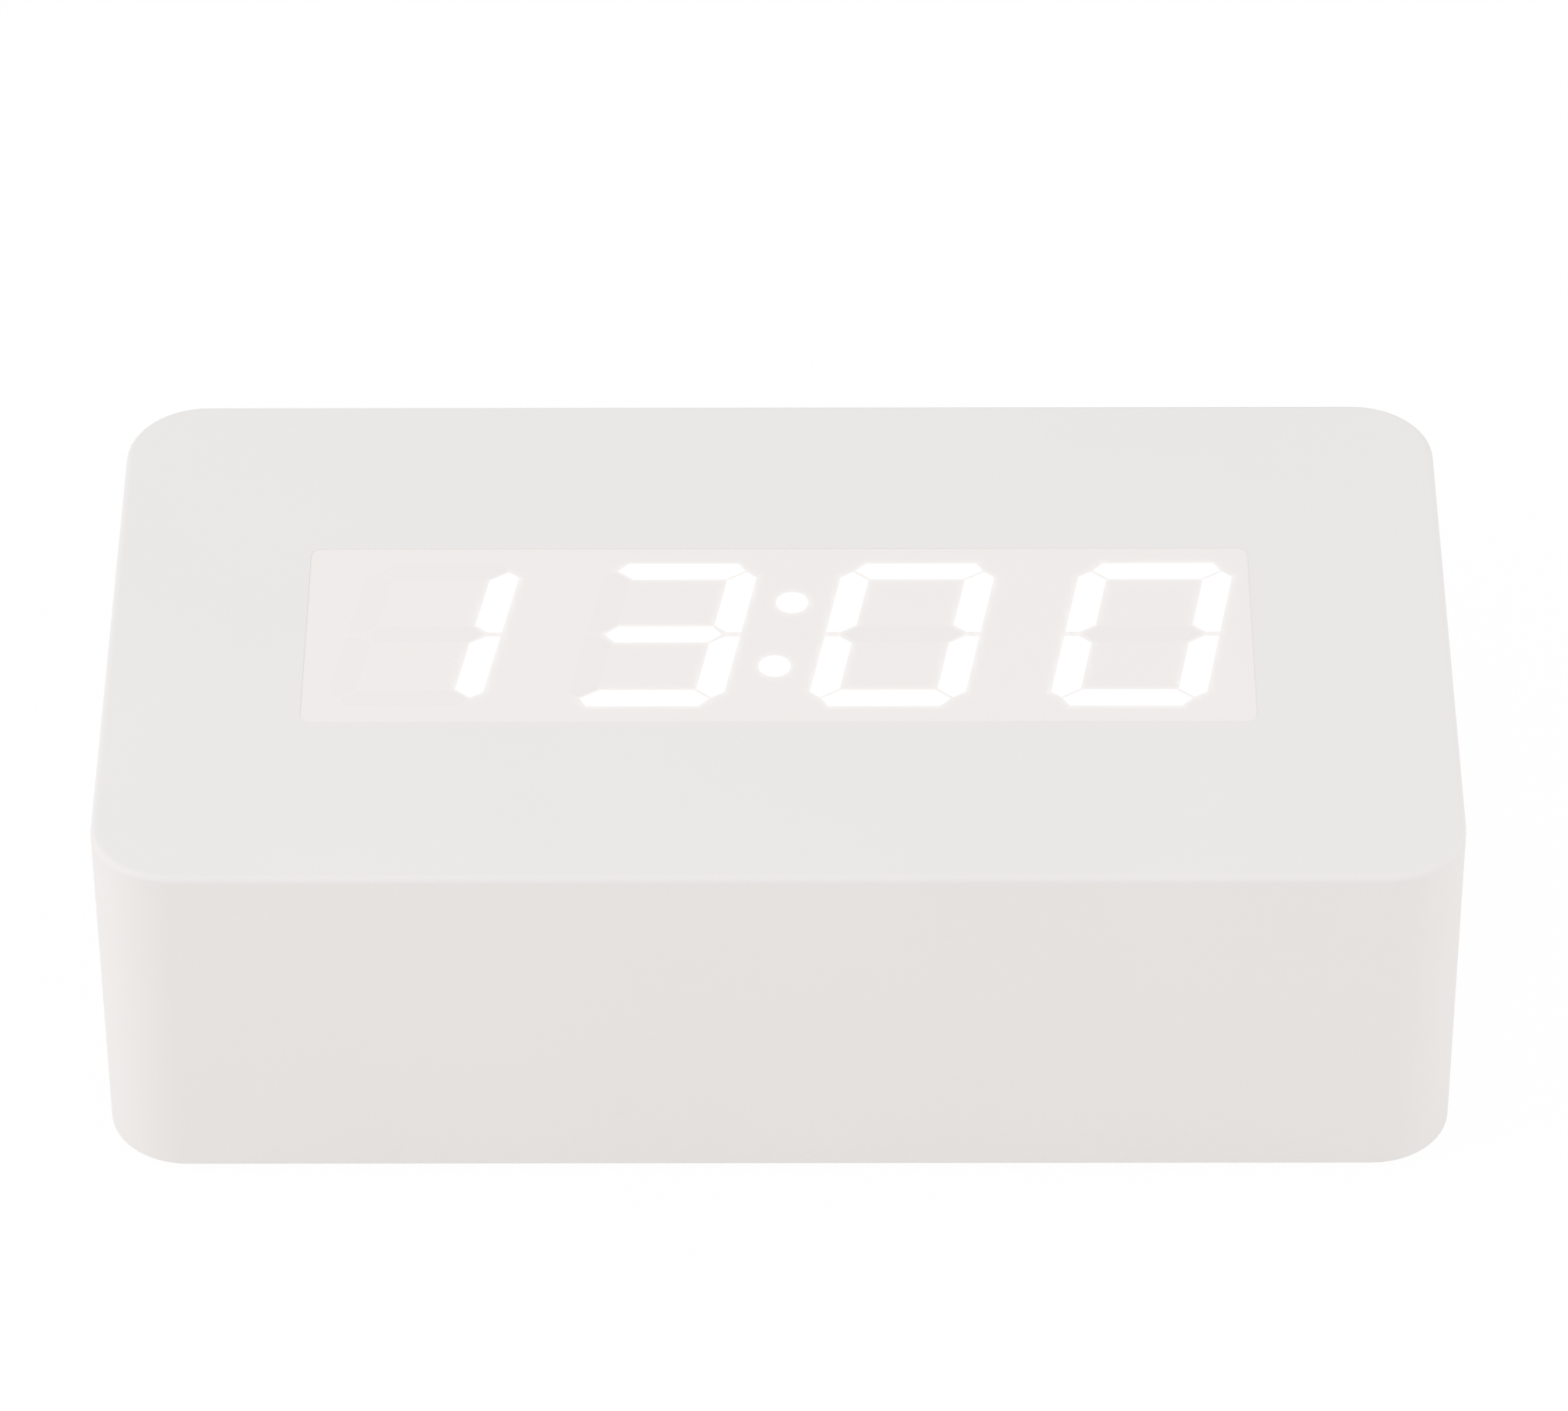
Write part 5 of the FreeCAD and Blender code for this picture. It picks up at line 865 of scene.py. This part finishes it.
def arc(x, y, radius, start=0.0, end=360.0, steps=32):
    """Points along an arc, angles in degrees. A full turn leaves out its last point."""
    last = steps if end - start >= 360.0 else steps + 1
    angles = [math.radians(start + (end - start) * step / steps) for step in range(last)]
    return [(x + radius * math.cos(angle), y + radius * math.sin(angle)) for angle in angles]


def bar(x0, y0, x1, y1, width):
    """The outline of a straight stroke."""
    along = Vector((x1 - x0, y1 - y0)).normalized() * width / 2
    side = Vector((-along.y, along.x))
    ends = (Vector((x0, y0)), Vector((x1, y1)))
    return [tuple(ends[0] + side), tuple(ends[0] - side), tuple(ends[1] - side), tuple(ends[1] + side)]


def polar(radius, angle):
    """A drawing's point from its distance and direction in degrees."""
    return radius * math.cos(math.radians(angle)), radius * math.sin(math.radians(angle))


def pointer(radius, angle, size):
    """A small triangle that points outwards, with its tip at the radius."""
    spread = math.degrees(size * POINTER_HALF_WIDTH / radius)
    back = radius - size
    return [polar(radius, angle), polar(back, angle + spread), polar(back, angle - spread)]


CLOCK_MARK = [
    arc(0, 0, 1.6),
    arc(0, 0, 1.3),
    [(-0.14, -0.14), (0.75, -0.14), (0.75, 0.14), (0.14, 0.14), (0.14, 0.98), (-0.14, 0.98)],
]
BELL_MARK = [
    arc(0, 0.25, 0.95, 0, 180, 16) + [(-0.98, -0.5), (-1.4, -0.95), (1.4, -0.95), (0.98, -0.5)],
    arc(0, 1.47, 0.19, steps=12),
    arc(0, -1.12, 0.36, 180, 360, 8),
]
DOWN_MARK = [[(-1.3, 0.7), (0.0, -1.15), (1.3, 0.7)]]
UP_MARK = [[(-1.3, -0.7), (1.3, -0.7), (0.0, 1.15)]]
BEAM_MARK = [
    [(-1.7, -0.62), (-0.75, -0.62), (-0.75, 0.62), (-1.7, 0.62)],
    bar(-0.35, 0.0, 1.65, 0.0, 0.27),
    bar(-0.35, 0.33, 1.4, 1.2, 0.27),
    bar(-0.35, -0.33, 1.4, -1.2, 0.27),
]
KEY_MARKS = {
    "time_key": CLOCK_MARK, "alarm_key": BELL_MARK, "down_key": DOWN_MARK, "up_key": UP_MARK,
    "projector_key": BEAM_MARK,
}


def outline_curve(name, outlines, thickness):
    """A filled flat curve from closed outlines in millimetres, where an inner outline is a hole."""
    curve = bpy.data.curves.new(name, "CURVE")
    curve.dimensions = "2D"
    curve.fill_mode = "BOTH"
    curve.extrude = thickness / 2
    for outline in outlines:
        spline = curve.splines.new("POLY")
        spline.points.add(len(outline) - 1)
        for point, (x, y) in zip(spline.points, outline):
            point.co = (x * MM, y * MM, 0.0, 1.0)
        spline.use_cyclic_u = True
    return curve


def word_curve(name, word, thickness):
    """A word as a filled flat curve, centred."""
    curve = bpy.data.curves.new(name, "FONT")
    curve.body = word
    curve.size = WORD_SIZE
    curve.align_x = "CENTER"
    curve.align_y = "CENTER"
    curve.extrude = thickness / 2
    return curve


def flat_mesh(curve):
    """The mesh of a flat curve, with its corners merged."""
    mesh = plain_mesh(add_object(curve.name, curve), curve.name)
    with edited(mesh) as work:
        bmesh.ops.remove_doubles(work, verts=work.verts, dist=MERGE_DISTANCE)
        bmesh.ops.recalc_face_normals(work, faces=work.faces)
    return mesh


def sink_into_dish(mesh):
    """Lowers a key's mark onto the hollow of its face."""
    for vertex in mesh.vertices:
        away = vertex.co.xy.length
        rise = KEY_DISH_RADIUS - math.sqrt(KEY_DISH_RADIUS ** 2 - away ** 2)
        vertex.co.z += rise - KEY_DISH_DEPTH


def mark(curve, place, body, slot):
    """A flat curve made into a piece on a face."""
    mesh = flat_mesh(curve)
    mesh.transform(place)
    new_piece(mesh, curve.name, body, slot)


def key_marks():
    """A printed sign in the hollow of each key."""
    for key, outlines in KEY_MARKS.items():
        low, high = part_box(key)
        mesh = flat_mesh(outline_curve(key + "_print", outlines, PRINT_THICKNESS))
        reach = Vector((PRINT_REACH, PRINT_REACH, 0.0))
        sliced(mesh, -reach, reach, PRINT_SLICE)
        sink_into_dish(mesh)
        mesh.transform(rear_place((low.x + high.x) / 2, high.y, KEY_CENTRE_UP))
        new_piece(mesh, key + "_print", body_of_node(key), "slider_grey")


def switch_words():
    """ON and OFF under the alarm's slider."""
    low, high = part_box("alarm_slider")
    body = body_of_node("top_shell")
    up = (low.z + high.z) / 2 - WORD_DROP
    for word, side in (("OFF", -1), ("ON", 1)):
        sign = word_curve("alarm_" + word.lower() + "_word", word, PRINT_THICKNESS)
        mark(sign, rear_place(side * WORD_SPREAD, REAR_PANEL_Y, up), body, "slider_grey")


def focus_marks():
    """The pointer on the focus ring, and its scale on the projector's head."""
    low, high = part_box("focus_ring")
    lens_x = (low.x + high.x) / 2
    lens_z = (low.z + high.z) / 2
    tip, size = RING_POINTER
    sign = outline_curve("focus_pointer", [pointer(tip, FOCUS_START, size)], PRINT_THICKNESS)
    mark(sign, rear_place(lens_x, high.y, lens_z), "focus_ring", "case_white")
    head_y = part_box("projector_front_shell")[1].y
    mesh = grown(
        ticks_tree(), "focus_ticks", [(0.0, 0.0, 0.0)], "slider_grey", Radius=TICK_RADIUS,
        Start=math.radians(FOCUS_START), Sweep=math.radians(FOCUS_SWEEP), Length=TICK_LENGTH,
        Width=TICK_WIDTH, Thickness=PRINT_THICKNESS,
    )
    mesh.transform(rear_place(lens_x, head_y - PRINT_THICKNESS / 2, lens_z))
    new_piece(mesh, "focus_ticks", "projector_head", "slider_grey")


def door_marks():
    """Raised marks that tell how the cell's door turns: a pointer on it, locked and open beside it."""
    low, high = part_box("battery_door")
    x = (low.x + high.x) / 2
    y = (low.y + high.y) / 2
    tip, size = DOOR_POINTER
    sign = outline_curve("door_pointer", [pointer(tip, DOOR_LOCKED, size)], RAISED_THICKNESS)
    mark(sign, under_place(x, y, low.z), "battery_door", "cover_white")
    cover_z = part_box("bottom_cover")[0].z
    outlines = [arc(*polar(DOOR_MARK_RADIUS, DOOR_LOCKED), LOCKED_DOT_RADIUS)]
    for radius in OPEN_RING_RADII:
        outlines.append(arc(*polar(DOOR_MARK_RADIUS, DOOR_FREE), radius))
    sign = outline_curve("door_seat_marks", outlines, RAISED_THICKNESS)
    mark(sign, under_place(x, y, cover_z), body_of_node("bottom_cover"), "cover_white")


def dress_frame():
    """Smooth copies of what shows, and materials on every CAD node that stays."""
    for name, node in frame["nodes"].items():
        node.data.materials.clear()
        node.data.materials.append(bpy.data.materials[slots[name]])
    for name in SMOOTH_NODES:
        smooth_piece(name)
    parted_leads()
    opal_face()
    padded_feet()
    threaded_screws()
    socket_contacts()
    key_marks()
    switch_words()
    focus_marks()
    door_marks()


# Studio

def view_share(tree):
    """1 for rays that come straight from the camera, or by way of gloss or glass."""
    path = put(tree, "ShaderNodeLightPath")
    first = math_node(tree, "MAXIMUM", path.outputs["Is Camera Ray"], path.outputs["Is Glossy Ray"])
    return math_node(tree, "MAXIMUM", first, path.outputs["Is Transmission Ray"])


def floor_material():
    """Pale floor that shows white to the camera but keeps a trace of shadow; clear from beneath."""
    material = bpy.data.materials.new("studio_floor")
    material.use_nodes = True
    tree = material.node_tree
    tree.nodes.clear()
    matt = put(tree, "ShaderNodeBsdfDiffuse", Color=(*FLOOR_WHITE, 1.0)).outputs[0]
    bright = put(tree, "ShaderNodeBsdfDiffuse", Color=WHITE).outputs[0]
    glow = put(tree, "ShaderNodeEmission", Color=WHITE, Strength=1.0).outputs[0]
    clear = put(tree, "ShaderNodeBsdfTransparent").outputs[0]
    shown = blend_shaders(tree, FLOOR_GLOW_SHARE, bright, glow)
    above = blend_shaders(tree, view_share(tree), matt, shown)
    beneath = put(tree, "ShaderNodeNewGeometry").outputs["Backfacing"]
    put(tree, "ShaderNodeOutputMaterial", Surface=blend_shaders(tree, beneath, above, clear))
    return material


def add_floor():
    """A large flat floor that the block stands on."""
    half = FLOOR_SIZE / 2
    mesh = bpy.data.meshes.new("studio_floor")
    corners = [(-half, -half, 0.0), (half, -half, 0.0), (half, half, 0.0), (-half, half, 0.0)]
    mesh.from_pydata(corners, [], [(0, 1, 2, 3)])
    mesh.materials.append(floor_material())
    floor = add_object("studio_floor", mesh)
    return floor


def add_sky():
    """White to the camera, and an even soft light on the block."""
    world = bpy.data.worlds.new("studio_sky")
    world.use_nodes = True
    bpy.context.scene.world = world
    tree = world.node_tree
    tree.nodes.clear()
    light = put(tree, "ShaderNodeBackground", Color=WHITE, Strength=SKY_STRENGTH).outputs[0]
    white = put(tree, "ShaderNodeBackground", Color=WHITE, Strength=1.0).outputs[0]
    put(tree, "ShaderNodeOutputWorld", Surface=blend_shaders(tree, view_share(tree), light, white))


def add_lamp(name, direction, share):
    """A soft square lamp: share 1 lights a white face as fully as white."""
    data = bpy.data.lights.new(name, "AREA")
    data.shape = "SQUARE"
    data.size = LAMP_WIDTH
    data.energy = share * math.pi ** 2 * LAMP_DISTANCE ** 2
    lamp = add_object(name, data)
    away = Vector(direction).normalized()
    lamp.location = Vector(CAMERA_AIM) + away * LAMP_DISTANCE
    lamp.rotation_mode = "QUATERNION"
    lamp.rotation_quaternion = (-away).to_track_quat("-Z", "Y")
    return lamp


def add_underside_lamp(floor):
    """A lamp beneath the floor, which the floor doesn't block, for views from below."""
    lamp = add_lamp("underside_lamp", (0.0, 0.0, -1.0), UNDERSIDE_LAMP_SHARE)
    passed = bpy.data.collections.new("underside_lamp_passes")
    passed.objects.link(floor)
    lamp.light_linking.blocker_collection = passed
    passed.collection_objects[0].light_linking.link_state = "EXCLUDE"


def add_camera():
    """The photograph's viewpoint: turned, tilted down, set off centre and rolled a little."""
    data = bpy.data.cameras.new("camera")
    data.lens = CAMERA_LENS_MM
    data.sensor_width = SENSOR_WIDTH_MM
    data.clip_start = CLIP_START
    data.clip_end = CLIP_END
    camera = add_object("camera", data)
    camera.matrix_world = (
        Matrix.Rotation(CAMERA_TURN, 4, "Z")
        @ Matrix.Translation(CAMERA_AIM)
        @ Matrix.Rotation(math.pi / 2 - CAMERA_ELEVATION, 4, "X")
        @ Matrix.Translation((CAMERA_SHIFT_RIGHT, CAMERA_SHIFT_UP, CAMERA_DISTANCE))
        @ Matrix.Rotation(-CAMERA_ROLL, 4, "Z")
    )
    bpy.context.scene.camera = camera


add_camera()
floor = add_floor()
add_sky()
for lamp_name, (lamp_direction, lamp_share) in LAMPS.items():
    add_lamp(lamp_name, lamp_direction, lamp_share)
add_underside_lamp(floor)
bpy.context.scene.view_settings.view_transform = "Standard"

build_materials()
dress_frame()
